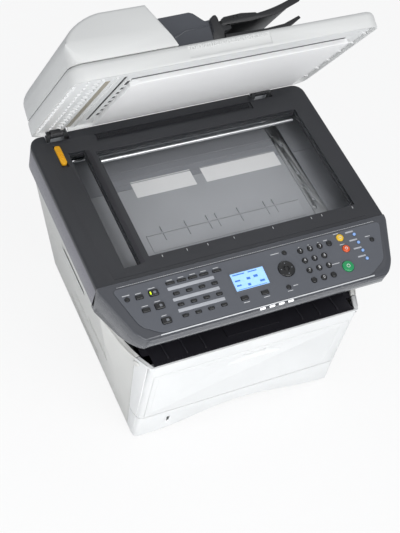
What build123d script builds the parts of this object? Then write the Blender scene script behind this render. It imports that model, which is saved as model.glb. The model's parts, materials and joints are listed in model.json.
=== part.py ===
from build123d import *
import os
from math import sin, cos, tan, radians

os.makedirs("parts", exist_ok=True)

# Driving dimensions of the whole machine, in millimetres.
# Depths are counted from the seam between the scanner's top and the operation panel.
scanner_half_width = 247.0
scanner_depth = 302.0
scanner_top = 325.0
scanner_bottom = 271.0
body_half_width = 184.0
body_front = -95.0
body_rear = 277.0
cover_top = 214.0
cover_bottom = 61.5
wall = 3.0
foot_height = 5.0
middle_depth = 137.0  # from the seam to the middle of the open machine's footprint

# The lid turns on two hinges behind the glass and stands open at this angle.
lid_open_angle = 62.0
lid_hinge_depth = 297.0
lid_hinge_height = 328.0
lid_depth = 291.0
lid_rim = 26.0
feeder_height = 96.0
feeder_reach = -81.0  # where the feeder's white cover ends on the lid
hinge_places = (-201.0, 166.0)
hinge_pin_radius = 3.0
running_gap = 0.05

# The glass and the slit that the document feeder scans through.
platen_left = -152.0
platen_right = 210.0
platen_front = 31.6
platen_rear = 247.8
slit_left = -195.0
slit_right = -168.0
glass_thickness = 3.0

# The operation panel slopes down towards the front.
panel_slope = 8.0
panel_length = 97.0
key_gap = 0.4

# Paper path.
paper_half_width = 108.0
drum_radius = 15.0
drum_depth = 20.0
drum_height = 120.0
transfer_radius = 8.0
fuser_radius = 13.0
fuser_depth = 185.0
fuser_height = 121.0
small_roller_radius = 7.0

# Cassette.
cassette_half_width = 156.0
cassette_floor = 9.0
cassette_height = 58.0
cassette_length = 330.0

machine = Plane(origin=(0, -middle_depth, 0))
panel_turn = radians(panel_slope)
panel_plane = Plane(
    origin=(0, -middle_depth, scanner_top),
    x_dir=(1, 0, 0),
    z_dir=(0, -sin(panel_turn), cos(panel_turn)),
)
lid_turn = radians(lid_open_angle)
lid_plane = Plane(
    origin=(0, lid_hinge_depth - middle_depth, lid_hinge_height),
    x_dir=(1, 0, 0),
    z_dir=(0, sin(lid_turn), cos(lid_turn)),
)


def block(x_low, x_high, y_low, y_high, z_low, z_high, mode=Mode.ADD):
    """A box between two corners, in the plane of the part being built."""
    with Locations(((x_low + x_high) / 2, (y_low + y_high) / 2, (z_low + z_high) / 2)):
        Box(x_high - x_low, y_high - y_low, z_high - z_low, mode=mode)


def bar(radius, x_low, x_high, y, z, mode=Mode.ADD):
    """A round bar along X, in the plane of the part being built."""
    with Locations(((x_low + x_high) / 2, y, z)):
        Cylinder(radius, x_high - x_low, rotation=(0, 90, 0), mode=mode)


def save(builder, name):
    builder.part.label = name
    export_step(builder.part, "parts/" + name + ".step")


# Chassis: a floor pan and two sheet-metal sides that carry the rollers, folded over at the top.
frame_inner = 163.0
frame_floor = foot_height + wall
frame_top = 160.0
frame_rear = 251.0
motor_depth = 100.0
motor_height = 90.0
transfer_height = drum_height - drum_radius - transfer_radius - 0.3
pressure_height = fuser_height - 2 * fuser_radius - 0.3
pickup_depth = -45.0
pickup_height = 76.0
registration_depth = -42.0
registration_height = 104.0
exit_depth = 232.0
exit_height = 192.0
roller_bearings = (
    (drum_depth, drum_height, 4.0),
    (drum_depth, transfer_height, 3.0),
    (fuser_depth, fuser_height, 4.0),
    (fuser_depth, pressure_height, 4.0),
    (pickup_depth, pickup_height, 3.0),
    (registration_depth, registration_height, 3.0),
    (exit_depth, exit_height, 3.0),
)
with BuildPart(machine) as chassis:
    block(-176, 176, body_front + 20, body_rear - 6, foot_height, frame_floor)
    for side in (-1, 1):
        near = min(side * frame_inner, side * (frame_inner + 2))
        far = max(side * frame_inner, side * (frame_inner + 2))
        block(near, far, body_front + 26, frame_rear, frame_floor, frame_top)
        block(near, far, 205, frame_rear, frame_top, 200)
        fold_near = min(side * (frame_inner + 2), side * (frame_inner + 12))
        fold_far = max(side * (frame_inner + 2), side * (frame_inner + 12))
        block(fold_near, fold_far, body_front + 30, 200, frame_top - 2, frame_top)
        for depth, height, radius in roller_bearings:
            bar(radius + running_gap, near - 1, far + 1, depth, height, mode=Mode.SUBTRACT)
    bar(4.3, frame_inner - 1, frame_inner + 3, motor_depth, motor_height, mode=Mode.SUBTRACT)
save(chassis, "chassis")

with BuildPart(machine) as rubber_feet:
    with Locations(
        (-150, body_front + 45, foot_height / 2),
        (150, body_front + 45, foot_height / 2),
        (-150, body_rear - 30, foot_height / 2),
        (150, body_rear - 30, foot_height / 2),
    ):
        Cylinder(12, foot_height)
    chamfer(rubber_feet.edges().group_by(Axis.Z)[0], 1)
save(rubber_feet, "rubber_feet")

# Outer side covers. The sides stand upright at the front corners and lean out towards the
# scanner further back, so each is a ruled surface, then a straight run to the rear.
left_flare = 58.0
right_flare = 36.0
lean_start = -12.0
side_seam = -67.0
lean_share = (side_seam - body_front) / (lean_start - body_front)


def side_section(side, depth, lean, top):
    """A strip of the side wall's skin at one depth, leaning out by lean at the scanner's height."""
    low = side * body_half_width
    high = side * (body_half_width + lean * (top - 4) / (scanner_bottom - 5))
    skin = wall * side
    with BuildSketch(Plane.XZ.offset(middle_depth - depth)) as strip:
        with BuildLine():
            Polyline((low, 4), (high, top), (high - skin, top), (low - skin, 4), close=True)
        make_face()
    return strip.sketch


for side, flare, name in ((-1, left_flare, "left_cover"), (1, right_flare, "right_cover")):
    with BuildPart() as side_cover:
        seam_section = side_section(side, side_seam + 0.4, flare * lean_share, cover_top)
        lean_section = side_section(side, lean_start, flare, scanner_bottom - 1)
        loft(sections=[seam_section, lean_section], ruled=True)
        extrude(lean_section, amount=-(body_rear - lean_start))
        # carrying grip let into the side
        grip_x = side * (body_half_width + flare * 0.785)
        with Locations((grip_x, 118 - middle_depth, 212)):
            Box(30, 100, 15, mode=Mode.SUBTRACT)
    save(side_cover, name)

# Rear of the engine: a fixed cover above and a door below for clearing jams.
rear_door_bottom = 70.0
rear_door_top = 205.0
rear_door_half = 140.0
with BuildPart(machine) as rear_cover:
    with BuildSketch(Plane.XZ.offset(middle_depth - body_rear)) as rear_outline:
        with BuildLine():
            Polyline(
                (-180.5, 8), (-180.5 - left_flare, scanner_bottom - 1),
                (180.5 + right_flare, scanner_bottom - 1), (180.5, 8), close=True,
            )
        make_face()
    extrude(amount=wall)
    block(-rear_door_half - 1, rear_door_half + 1, body_rear - wall - 1, body_rear + 1,
          rear_door_bottom - 1, rear_door_top + 1, mode=Mode.SUBTRACT)
    block(-176, -146, body_rear - wall - 1, body_rear + 1, 26, 56, mode=Mode.SUBTRACT)
    block(100, 176, body_rear - wall - 1, body_rear + 1, 26, 56, mode=Mode.SUBTRACT)
    block(-140, -122, body_rear - wall - 1, body_rear + 1, 28, 52, mode=Mode.SUBTRACT)
save(rear_cover, "rear_cover")

with BuildPart(machine) as rear_door:
    block(-rear_door_half, rear_door_half, body_rear - wall, body_rear, rear_door_bottom, rear_door_top)
    fillet(rear_door.edges().filter_by(Axis.X).group_by(Axis.Z)[0], wall / 2 - 0.01)
    block(-30, 30, body_rear, body_rear + 5, rear_door_top - 12, rear_door_top - 6)
save(rear_door, "rear_door")

# Black tray that catches the printed sheets, with the walls that carry the scanner.
tray_front = -91.4
tray_low_depth = 176.0
tray_low = 172.0
with BuildPart() as output_tray:
    with BuildSketch(Plane.YZ.offset(-175)) as tray_side:
        with BuildLine():
            Polyline(
                (tray_front - middle_depth, cover_top),
                (tray_low_depth - middle_depth, tray_low),
                (tray_low_depth + 12 - middle_depth, 206),
                (body_rear - 6 - middle_depth, 214),
                (body_rear - 6 - middle_depth, 211),
                (tray_low_depth + 14 - middle_depth, 203),
                (tray_low_depth + 2 - middle_depth, tray_low - 3),
                (tray_front - middle_depth, cover_top - 3),
                close=True,
            )
        make_face()
    extrude(amount=350)
    for side in (-1, 1):
        wall_x = side * 175
        block(
            min(wall_x, wall_x - side * wall), max(wall_x, wall_x - side * wall),
            -50 - middle_depth, body_rear - 6 - middle_depth, 206, scanner_bottom - 0.5,
        )
        block(
            min(wall_x, wall_x - side * wall), max(wall_x, wall_x - side * wall),
            -20 - middle_depth, body_rear - 6 - middle_depth, 170, 206,
        )
        shelf = side * (body_half_width + 3)
        block(min(wall_x, shelf), max(wall_x, shelf), side_seam + 1 - middle_depth, 0 - middle_depth, 206, 209)
        ledge = side * (body_half_width + min(left_flare, right_flare) * 0.8)
        block(
            min(wall_x, ledge), max(wall_x, ledge),
            10 - middle_depth, body_rear - 8 - middle_depth, scanner_bottom - 4, scanner_bottom - 0.5,
        )
save(output_tray, "output_tray")

# Flap that props up long sheets, lying in the tray's floor near the front.
stopper_slope = (cover_top - tray_low) / (tray_low_depth - tray_front)
stopper_rear = -20.0
stopper_front = -76.0
stopper_height = cover_top - stopper_slope * (stopper_rear - tray_front) + 1.9
stopper_tip = cover_top - stopper_slope * (stopper_front - tray_front) + 1.9
with BuildPart() as paper_stopper:
    with BuildSketch(Plane.YZ.offset(-45)) as stopper_side:
        with BuildLine():
            Polyline(
                (stopper_rear - middle_depth, stopper_height - 1.5),
                (stopper_front - middle_depth, stopper_tip - 1.5),
                (stopper_front - middle_depth, stopper_tip + 1),
                (stopper_rear - middle_depth, stopper_height + 1),
                close=True,
            )
        make_face()
    extrude(amount=90)
    bar(1.5, -45, 45, stopper_rear - middle_depth, stopper_height)
save(paper_stopper, "paper_stopper")

# Front cover: it wraps round both front corners and holds the multipurpose tray's opening.
mp_half = 174.0
mp_top = 186.0
cover_depth = 14.0
cover_hinge_depth = body_front + 4.5
cover_hinge_height = cover_bottom + 7
tray_lip = 205.0
with BuildPart(machine) as front_cover:
    block(-body_half_width, body_half_width, body_front, body_front + cover_depth, cover_bottom + 0.5, tray_lip)
    block(-body_half_width, body_half_width, body_front, body_front + wall, tray_lip, cover_top)
    fillet(front_cover.edges().filter_by(Axis.Z).group_by(Axis.Y)[0], 6)
    block(-body_half_width + wall, body_half_width - wall, body_front + wall, body_front + cover_depth + 1,
          cover_bottom + wall, tray_lip - wall, mode=Mode.SUBTRACT)
    block(-mp_half - 0.6, mp_half + 0.6, body_front - 1, body_front + wall + 1, cover_bottom, mp_top + 0.6,
          mode=Mode.SUBTRACT)
    block(-mp_half - 0.6, mp_half + 0.6, body_front - 1, body_front + cover_depth + 1, cover_bottom,
          cover_hinge_height + 8, mode=Mode.SUBTRACT)
    block(-body_half_width + 2, body_half_width - 2, body_front + 9, body_front + 11,
          cover_hinge_height + 8, tray_lip - 2)
    for side in (-1, 1):
        boss_near = min(side * (mp_half + 1.2), side * (mp_half + 8))
        boss_far = max(side * (mp_half + 1.2), side * (mp_half + 8))
        bar(3.2, boss_near, boss_far, cover_hinge_depth, cover_hinge_height)
    bar(1.5 + running_gap, -mp_half - 9, mp_half + 9, cover_hinge_depth, cover_hinge_height, mode=Mode.SUBTRACT)
    for side, flare in ((-1, left_flare), (1, right_flare)):
        loft(
            sections=[
                side_section(side, body_front + 8, flare * lean_share * 8 / (side_seam - body_front), cover_top),
                side_section(side, side_seam, flare * lean_share, cover_top),
            ],
            ruled=True,
        )
    block(-260, 260, body_front - 5, side_seam + 5, 0, cover_bottom + 0.5, mode=Mode.SUBTRACT)
    # the lowest corner of each return is cut short, so that it turns past the side covers
    block(-260, 260, side_seam - 1.4, side_seam + 5, cover_bottom, cover_hinge_height + 1, mode=Mode.SUBTRACT)
save(front_cover, "front_cover")

# Multipurpose tray, folded up into the front cover, with a finger pocket near its top.
with BuildPart(machine) as mp_tray:
    block(-mp_half, mp_half, body_front, body_front + 2.5, cover_bottom + 1, mp_top)
    block(-mp_half + 8, mp_half - 8, body_front + 2.5, body_front + 5, cover_bottom + 10, mp_top - 8)
    block(-20, 28, body_front + 2.5, body_front + 7.5, 162, 178)
    block(-17, 25, body_front - 1, body_front + 6, 164, 176, mode=Mode.SUBTRACT)
    for side in (-1, 1):
        knuckle_near = min(side * (mp_half - 14), side * mp_half)
        knuckle_far = max(side * (mp_half - 14), side * mp_half)
        bar(2.6, knuckle_near, knuckle_far, cover_hinge_depth, cover_hinge_height)
        pin_near = min(side * (mp_half - 1), side * (mp_half + 7))
        pin_far = max(side * (mp_half - 1), side * (mp_half + 7))
        bar(1.5, pin_near, pin_far, cover_hinge_depth, cover_hinge_height)
save(mp_tray, "mp_tray")

# Paper cassette.
cassette_front = body_front + 14
cassette_rear = cassette_front + cassette_length
with BuildPart(machine) as cassette_tray:
    block(-cassette_half_width, cassette_half_width, cassette_front, cassette_rear, cassette_floor, cassette_height)
    block(-cassette_half_width + 2.5, cassette_half_width - 2.5, cassette_front + 2.5, cassette_rear - 2.5,
          cassette_floor + 2, cassette_height + 1, mode=Mode.SUBTRACT)
save(cassette_tray, "cassette_tray")

# The cassette's face: its lower edge arches up in the middle over a hollow for the fingers.
arch_height = 31.0
with BuildPart() as cassette_face:
    with BuildSketch(Plane.XZ.offset(middle_depth - body_front)) as face_outline:
        with BuildLine():
            Polyline((-184, 4), (-184, 60), (184, 60), (184, 4), (140, 6))
            Spline((140, 6), (70, 23), (0, arch_height), (-70, 23), (-140, 6))
            Line((-140, 6), (-184, 4))
        make_face()
    extrude(amount=-14)
    with BuildSketch(Plane.XZ.offset(middle_depth - body_front - 2.5)) as face_hollow:
        with BuildLine():
            Polyline((-177, 9), (-177, 58), (177, 58), (177, 9), (140, 12))
            Spline((140, 12), (70, 28), (0, arch_height + 5), (-70, 28), (-140, 12))
            Line((-140, 12), (-177, 9))
        make_face()
    extrude(amount=-12, mode=Mode.SUBTRACT)
    # back wall of the finger hollow
    with Locations((0, body_front + 13 - middle_depth, 33)):
        Box(356, 2, 50)
    # returns round the front corners
    for side, flare in ((-1, left_flare), (1, right_flare)):
        loft(
            sections=[
                side_section(side, body_front + 8, flare * lean_share * 8 / (side_seam - body_front) * 0.22, 60),
                side_section(side, side_seam, flare * lean_share * 0.22, 60),
            ],
            ruled=True,
        )
    # window of the paper gauge
    with Locations((-127, body_front - middle_depth, 35)):
        Box(5, 8, 14, mode=Mode.SUBTRACT)
save(cassette_face, "cassette_face")

lift_rear = 78.0
lift_height = 14.0
with BuildPart(machine) as lift_plate:
    block(-70, 70, cassette_front + 8, lift_rear, lift_height, lift_height + 1.5)
    bar(2.0, -76, -70, lift_rear - 2, lift_height + 1)
    bar(2.0, 70, 76, lift_rear - 2, lift_height + 1)
save(lift_plate, "lift_plate")

for side, name in ((-1, "left_paper_guide"), (1, "right_paper_guide")):
    with BuildPart(machine) as paper_guide:
        inner = side * (paper_half_width + 0.5)
        outer = side * (paper_half_width + 3)
        block(min(inner, outer), max(inner, outer), -20, 60, 12, 52)
        shoe = side * (paper_half_width + 10)
        block(min(inner, shoe), max(inner, shoe), 10, 30, 12, 15)
    save(paper_guide, name)

with BuildPart(machine) as end_guide:
    block(-22, 22, 228, 231, 12, 50)
    block(-22, 22, 216, 228, 12, 14)
save(end_guide, "end_guide")

# Rollers along the paper path, each a shaft with its rubber or metal sleeve.
with BuildPart(machine) as pickup_roller:
    bar(3.0, -frame_inner - 5, frame_inner + 5, pickup_depth, pickup_height)
    bar(12.0, -22, 22, pickup_depth, pickup_height)
save(pickup_roller, "pickup_roller")

with BuildPart(machine) as registration_roller:
    bar(3.0, -frame_inner - 5, frame_inner + 5, registration_depth, registration_height)
    bar(small_roller_radius, -110, 110, registration_depth, registration_height)
save(registration_roller, "registration_roller")

with BuildPart(machine) as transfer_roller:
    bar(3.0, -frame_inner - 5, frame_inner + 5, drum_depth, transfer_height)
    bar(transfer_radius, -112, 112, drum_depth, transfer_height)
save(transfer_roller, "transfer_roller")

with BuildPart(machine) as drum:
    bar(4.0, -frame_inner - 5, frame_inner + 5, drum_depth, drum_height)
    bar(drum_radius, -125, 125, drum_depth, drum_height)
    bar(17.0, 146, 154, drum_depth, drum_height)
    with Locations((150, drum_depth, drum_height)):
        with Locations([Rotation(turn * 10, 0, 0) for turn in range(36)]):
            with Locations((0, 0, 17)):
                Box(8, 1.4, 3)
save(drum, "drum")

with BuildPart(machine) as imaging_unit:
    for side in (-1, 1):
        cheek_near = min(side * 127, side * 140)
        cheek_far = max(side * 127, side * 140)
        block(cheek_near, cheek_far, drum_depth - 49, drum_depth + 22, drum_height - 12, drum_height + 26)
    block(-127, 127, drum_depth + 17, drum_depth + 22, drum_height - 4, drum_height + 26)
    block(-127, 127, drum_depth - 20, drum_depth + 17, drum_height + 23, drum_height + 26)
    block(-127, 127, drum_depth - 49, drum_depth - 21, drum_height - 6, drum_height + 34)
    block(-122, 122, drum_depth - 46, drum_depth - 24, drum_height + 20, drum_height + 35, mode=Mode.SUBTRACT)
    bar(4.0 + running_gap, -141, 141, drum_depth, drum_height, mode=Mode.SUBTRACT)
save(imaging_unit, "imaging_unit")

with BuildPart(machine) as toner_container:
    block(-128, 128, -72, -31, drum_height + 2, drum_height + 70)
    fillet(toner_container.edges().filter_by(Axis.X), 8)
    block(-20, 20, -76, -71, drum_height + 28, drum_height + 46)
save(toner_container, "toner_container")

with BuildPart(machine) as laser_scanner:
    block(-120, 120, 46, 150, 122, 158)
    fillet(laser_scanner.edges().filter_by(Axis.Z), 8)
    block(-100, 100, 45, 60, 128, 138, mode=Mode.SUBTRACT)
save(laser_scanner, "laser_scanner")

with BuildPart(machine) as fuser_housing:
    block(-132, 132, fuser_depth - 28, fuser_depth + 28, pressure_height - 22, fuser_height + 24)
    block(-126, 126, fuser_depth - 22, fuser_depth + 22, pressure_height - 17, fuser_height + 19, mode=Mode.SUBTRACT)
    block(-118, 118, fuser_depth - 40, fuser_depth + 40, pressure_height + 9, fuser_height - 9, mode=Mode.SUBTRACT)
    bar(4.0 + running_gap, -133, 133, fuser_depth, fuser_height, mode=Mode.SUBTRACT)
    bar(4.0 + running_gap, -133, 133, fuser_depth, pressure_height, mode=Mode.SUBTRACT)
save(fuser_housing, "fuser_housing")

with BuildPart(machine) as heat_roller:
    bar(4.0, -frame_inner - 5, frame_inner + 5, fuser_depth, fuser_height)
    bar(fuser_radius, -115, 115, fuser_depth, fuser_height)
save(heat_roller, "heat_roller")

with BuildPart(machine) as pressure_roller:
    bar(4.0, -frame_inner - 5, frame_inner + 5, fuser_depth, pressure_height)
    bar(fuser_radius, -115, 115, fuser_depth, pressure_height)
save(pressure_roller, "pressure_roller")

with BuildPart(machine) as exit_roller:
    bar(3.0, -frame_inner - 5, frame_inner + 5, exit_depth, exit_height)
    for place in (-80, -30, 30, 80):
        bar(9.0, place - 8, place + 8, exit_depth, exit_height)
save(exit_roller, "exit_roller")

# Main motor outside the right side of the chassis.
with BuildPart(machine) as main_motor:
    bar(17, frame_inner + 2, frame_inner + 14, motor_depth, motor_height)
    bar(4, frame_inner - 8, frame_inner + 2, motor_depth, motor_height)
save(main_motor, "main_motor")

# Electrics, between each side of the chassis and its cover, with the sockets at the rear.
board_x = frame_inner + 6.5
with BuildPart(machine) as main_board:
    block(board_x, board_x + 1.6, 125, 245, 70, 148)
    block(board_x + 1.6, board_x + 9, 140, 170, 95, 125)
    block(board_x + 1.6, board_x + 7, 190, 230, 85, 110)
    block(101, 175, body_rear - 5, body_rear - 1, 27, 55)
    block(108, 124, body_rear - 20, body_rear - 1, 32, 46)
    block(134, 147, body_rear - 20, body_rear - 1, 32, 45)
    block(110, 122, body_rear - 16, body_rear, 34, 44, mode=Mode.SUBTRACT)
    block(136, 145, body_rear - 16, body_rear, 34, 43, mode=Mode.SUBTRACT)
save(main_board, "main_board")

with BuildPart(machine) as power_supply:
    block(-board_x - 1.6, -board_x, 60, 245, 70, 148)
    block(-board_x - 10, -board_x - 1.6, 80, 120, 80, 120)
    block(-board_x - 9, -board_x - 1.6, 140, 170, 75, 135)
    block(-175, -147, body_rear - 22, body_rear - 0.5, 27, 55)
    block(-172, -150, body_rear - 18, body_rear + 1, 33, 49, mode=Mode.SUBTRACT)
    for shift in (-7, 0, 7):
        block(-162 + shift, -160 + shift, body_rear - 20, body_rear - 4, 34, 39)
save(power_supply, "power_supply")

fan_depth = 250.0
fan_height = 232.0
with BuildPart(machine) as fan_frame:
    block(-30, 30, fan_depth, fan_depth + 15, fan_height - 17, fan_height + 30)
    with Locations((0, fan_depth + 7.5, fan_height + 6)):
        Cylinder(21, 16, rotation=(90, 0, 0), mode=Mode.SUBTRACT)
    with Locations((0, fan_depth + 13.5, fan_height + 6)):
        Box(3, 3, 42)
        Box(42, 3, 3)
    with Locations((0, fan_depth + 11, fan_height + 6)):
        Cylinder(1.5, 6, rotation=(90, 0, 0))
save(fan_frame, "fan_frame")

with BuildPart(machine) as fan_rotor:
    with Locations((0, fan_depth + 6, fan_height + 6)):
        Cylinder(8, 10, rotation=(90, 0, 0))
    for turn in range(7):
        with Locations((0, fan_depth + 6, fan_height + 6)):
            with Locations(Rotation(0, turn * 360 / 7, 0)):
                with Locations((13, 0, 0)):
                    Box(12, 8, 1.2, rotation=(35, 0, 0))
    with Locations((0, fan_depth + 9.5, fan_height + 6)):
        Cylinder(1.55, 5, rotation=(90, 0, 0), mode=Mode.SUBTRACT)
save(fan_rotor, "fan_rotor")

with BuildPart(machine) as power_switch:
    block(-138, -124, body_rear - 8, body_rear + 2, 31, 49)
    bar(3.0, -139, -123, body_rear - 5, 40)
save(power_switch, "power_switch")

# Scanner: a lower case, the top with its two windows, and the glass in them.
corner = 20.0
top_thickness = 10.0
with BuildPart() as scanner_case:
    with BuildSketch(Plane.XY.offset(scanner_bottom)) as case_plan:
        with Locations((0, scanner_depth / 2 - middle_depth)):
            Rectangle(2 * scanner_half_width, scanner_depth)
        fillet(case_plan.vertices().group_by(Axis.Y)[-1], corner)
    extrude(amount=scanner_top - top_thickness - scanner_bottom)
    with BuildSketch(Plane.XY.offset(scanner_bottom + wall)) as case_hollow:
        with Locations((0, scanner_depth / 2 - middle_depth)):
            Rectangle(2 * scanner_half_width - 2 * wall, scanner_depth - 2 * wall)
        fillet(case_hollow.vertices().group_by(Axis.Y)[-1], corner - wall)
    extrude(amount=scanner_top, mode=Mode.SUBTRACT)
    for place in hinge_places:
        block(place - 19, place + 19, lid_hinge_depth - 12 - middle_depth, scanner_depth + 1 - middle_depth,
              scanner_top - 14, scanner_top, mode=Mode.SUBTRACT)
save(scanner_case, "scanner_case")

with BuildPart() as scanner_frame:
    with BuildSketch(Plane.XY.offset(scanner_top - top_thickness)) as frame_plan:
        with Locations((0, scanner_depth / 2 - middle_depth)):
            Rectangle(2 * scanner_half_width, scanner_depth)
        fillet(frame_plan.vertices().group_by(Axis.Y)[-1], corner)
    extrude(amount=top_thickness)
    fillet(scanner_frame.edges().group_by(Axis.Z)[-1].filter_by(Axis.Y), 4)
    block(platen_left, platen_right, platen_front - middle_depth, platen_rear - middle_depth,
          scanner_top - 4.2, scanner_top + 1, mode=Mode.SUBTRACT)
    block(platen_left + 3, platen_right - 3, platen_front + 3 - middle_depth, platen_rear - 3 - middle_depth,
          scanner_top - 12, scanner_top, mode=Mode.SUBTRACT)
    block(slit_left, slit_right, 22 - middle_depth, 256 - middle_depth,
          scanner_top - 4.2, scanner_top + 1, mode=Mode.SUBTRACT)
    block(slit_left + 2, slit_right - 2, 24 - middle_depth, 254 - middle_depth,
          scanner_top - 12, scanner_top, mode=Mode.SUBTRACT)
    # shallow trough behind the platen, for the lid's rear edge
    block(-141, 141, 268 - middle_depth, 284 - middle_depth, scanner_top - 3, scanner_top + 1, mode=Mode.SUBTRACT)
    # slot of the carriage lock
    block(-214, -203, 230 - middle_depth, 276 - middle_depth, scanner_top - 4, scanner_top + 1, mode=Mode.SUBTRACT)
    for place in hinge_places:
        block(place - 19, place + 19, lid_hinge_depth - 12 - middle_depth, scanner_depth + 1 - middle_depth,
              scanner_top - 14, scanner_top + 1, mode=Mode.SUBTRACT)
save(scanner_frame, "scanner_frame")

with BuildPart(machine) as scanner_glass:
    block(platen_left + 0.2, platen_right - 0.2, platen_front + 0.2, platen_rear - 0.2,
          scanner_top - 4, scanner_top - 4 + glass_thickness)
    block(slit_left + 0.2, slit_right - 0.2, 22.2, 255.8, scanner_top - 4, scanner_top - 4 + glass_thickness)
save(scanner_glass, "scanner_glass")

with BuildPart(machine) as lock_slider:
    block(-213.6, -203.4, 236, 274, scanner_top - 3.6, scanner_top + 2)
    for rib in range(5):
        block(-213.6, -203.4, 244 + rib * 6, 246 + rib * 6, scanner_top + 1.5, scanner_top + 3)
save(lock_slider, "lock_slider")

# Carriage with the lamp and mirrors, on its rod, pulled by a belt.
rod_depth = 266.0
rod_height = 291.0
belt_depth = 284.0
with BuildPart() as carriage_drive:
    bar(4.0, -scanner_half_width + wall, scanner_half_width - wall, rod_depth - middle_depth, rod_height)
    with BuildSketch(Plane.XY.offset(rod_height - 4)) as belt_plan:
        with Locations((0, belt_depth - middle_depth)):
            SlotOverall(460, 14)
            SlotOverall(457, 11, mode=Mode.SUBTRACT)
    extrude(amount=6)
    with Locations((222, belt_depth - middle_depth, rod_height - 9)):
        Cylinder(9, 8)
    with Locations((222, belt_depth - middle_depth, rod_height - 1)):
        Cylinder(4, 8)
save(carriage_drive, "carriage_drive")

carriage_left = -240.0
with BuildPart(machine) as scan_carriage:
    block(carriage_left, carriage_left + 26, 16, 258, rod_height - 11, rod_height + 14)
    block(carriage_left, carriage_left + 26, 258, rod_depth + 7, rod_height - 7, rod_height + 7)
    block(carriage_left + 8, carriage_left + 18, 24, 252, rod_height + 8, rod_height + 15, mode=Mode.SUBTRACT)
    bar(4.0 + running_gap, carriage_left - 1, carriage_left + 27, rod_depth, rod_height, mode=Mode.SUBTRACT)
save(scan_carriage, "scan_carriage")

# Operation panel: case, face plate, display and keys.
plan_corner = 215.0
with BuildPart() as panel_case:
    with BuildSketch(Plane.YZ.offset(-scanner_half_width)) as panel_side:
        with BuildLine():
            Polyline(
                (-0.4 - middle_depth, scanner_top - 0.4 * tan(panel_turn)),
                (-panel_length * cos(panel_turn) - middle_depth, scanner_top - panel_length * sin(panel_turn)),
                (-panel_length - 5 - middle_depth, scanner_top - 20),
                (-panel_length - 2 - middle_depth, scanner_top - 28),
                (-72 - middle_depth, scanner_bottom + 16),
                (-0.4 - middle_depth, scanner_bottom),
                close=True,
            )
        make_face()
    extrude(amount=2 * scanner_half_width)
    with BuildSketch(Plane.XY.offset(scanner_bottom - 10)) as panel_plan:
        with BuildLine():
            Polyline(
                (-scanner_half_width, 5 - middle_depth), (-scanner_half_width, -12 - middle_depth),
                (-plan_corner - 4, -86 - middle_depth), (-plan_corner + 14, -105 - middle_depth),
                (plan_corner - 14, -105 - middle_depth), (plan_corner + 4, -86 - middle_depth),
                (scanner_half_width, -12 - middle_depth), (scanner_half_width, 5 - middle_depth),
                close=True,
            )
        make_face()
        fillet(panel_plan.vertices().filter_by(lambda corner: corner.Y < -60 - middle_depth), 12)
    extrude(amount=100, mode=Mode.INTERSECT)
    # hollow inside, open towards the scanner
    with BuildSketch(Plane.YZ.offset(-plan_corner + 6)) as panel_inside:
        with BuildLine():
            Polyline(
                (1 - middle_depth, scanner_top - 3.2),
                (-90 - middle_depth, scanner_top - 3.2 - 91 * tan(panel_turn)),
                (-92 - middle_depth, scanner_top - 24),
                (-72 - middle_depth, scanner_bottom + 20),
                (1 - middle_depth, scanner_bottom + 3.5),
                close=True,
            )
        make_face()
    extrude(amount=2 * plan_corner - 12, mode=Mode.SUBTRACT)
    # window that the face plate covers
    with BuildSketch(panel_plane.offset(-8)) as face_window:
        with BuildLine():
            Polyline((-222, -14), (-204, -76), (-178, -91), (174, -91), (204, -76), (226, -14), close=True)
        make_face()
    extrude(amount=12, mode=Mode.SUBTRACT)
save(panel_case, "panel_case")

number_places = [(80.5 + 17.3 * column, -26.0 - 17.5 * row) for row in range(4) for column in range(3)]
clear_place = (132.2, -26.0)
round_places = [(-215 + 4, -30.5), (54.0, -22.0), (36.0, -78.5)]
function_places = [(-192.0, -31.5), (-190.0, -54.0)]
soft_places = [(-38.5, -76.5), (-4.0, -76.5)]
copy_place = (-169.0, -30.5)
send_place = (-168.0, -53.0)
fax_place = (-167.0, -78.0)
touch_columns = [-123.5, -101.0, -78.5, -56.5]
touch_rows = [-40.5, -59.0, -78.0]
bar_columns = [-139.0, -120.5, -102.0, -83.5, -62.0]
bar_row = -22.0
program_places = [(180.0, -22.0), (180.5, -37.0), (181.0, -52.0), (181.5, -67.0)]
reset_place = (154.0, -21.5)
stop_place = (155.5, -42.0)
start_place = (144.5, -71.5)
power_place = (205.0, -38.0)
nav_place = (45.5, -48.7)
number_radius = 4.6
small_radius = 3.6
nav_radius = 13.5
ok_radius = 4.0


def face_holes():
    """The holes for every key in the face plate, in the panel's own plane."""
    with Locations(number_places, clear_place):
        Circle(number_radius + key_gap)
    with Locations(round_places, power_place):
        Circle(small_radius + key_gap)
    with Locations(function_places, soft_places):
        RectangleRounded(12 + 2 * key_gap, 6.5 + 2 * key_gap, 1.5)
    with Locations(copy_place, send_place, fax_place):
        RectangleRounded(15 + 2 * key_gap, 10 + 2 * key_gap, 2.5)
    for row in touch_rows:
        for column in touch_columns:
            with Locations((column + (touch_rows[0] - row) * 0.12, row)):
                RectangleRounded(9.5 + 2 * key_gap, 4.6 + 2 * key_gap, 1.8)
    with Locations([(column, bar_row) for column in bar_columns]):
        RectangleRounded(14 + 2 * key_gap, 4 + 2 * key_gap, 1)
    with Locations(program_places):
        Circle(2.6 + key_gap)
    with Locations(reset_place, stop_place):
        Circle(6.2 + key_gap)
    with Locations(start_place):
        Circle(9.5 + key_gap)
    with Locations(nav_place):
        Circle(nav_radius + key_gap)


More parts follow.
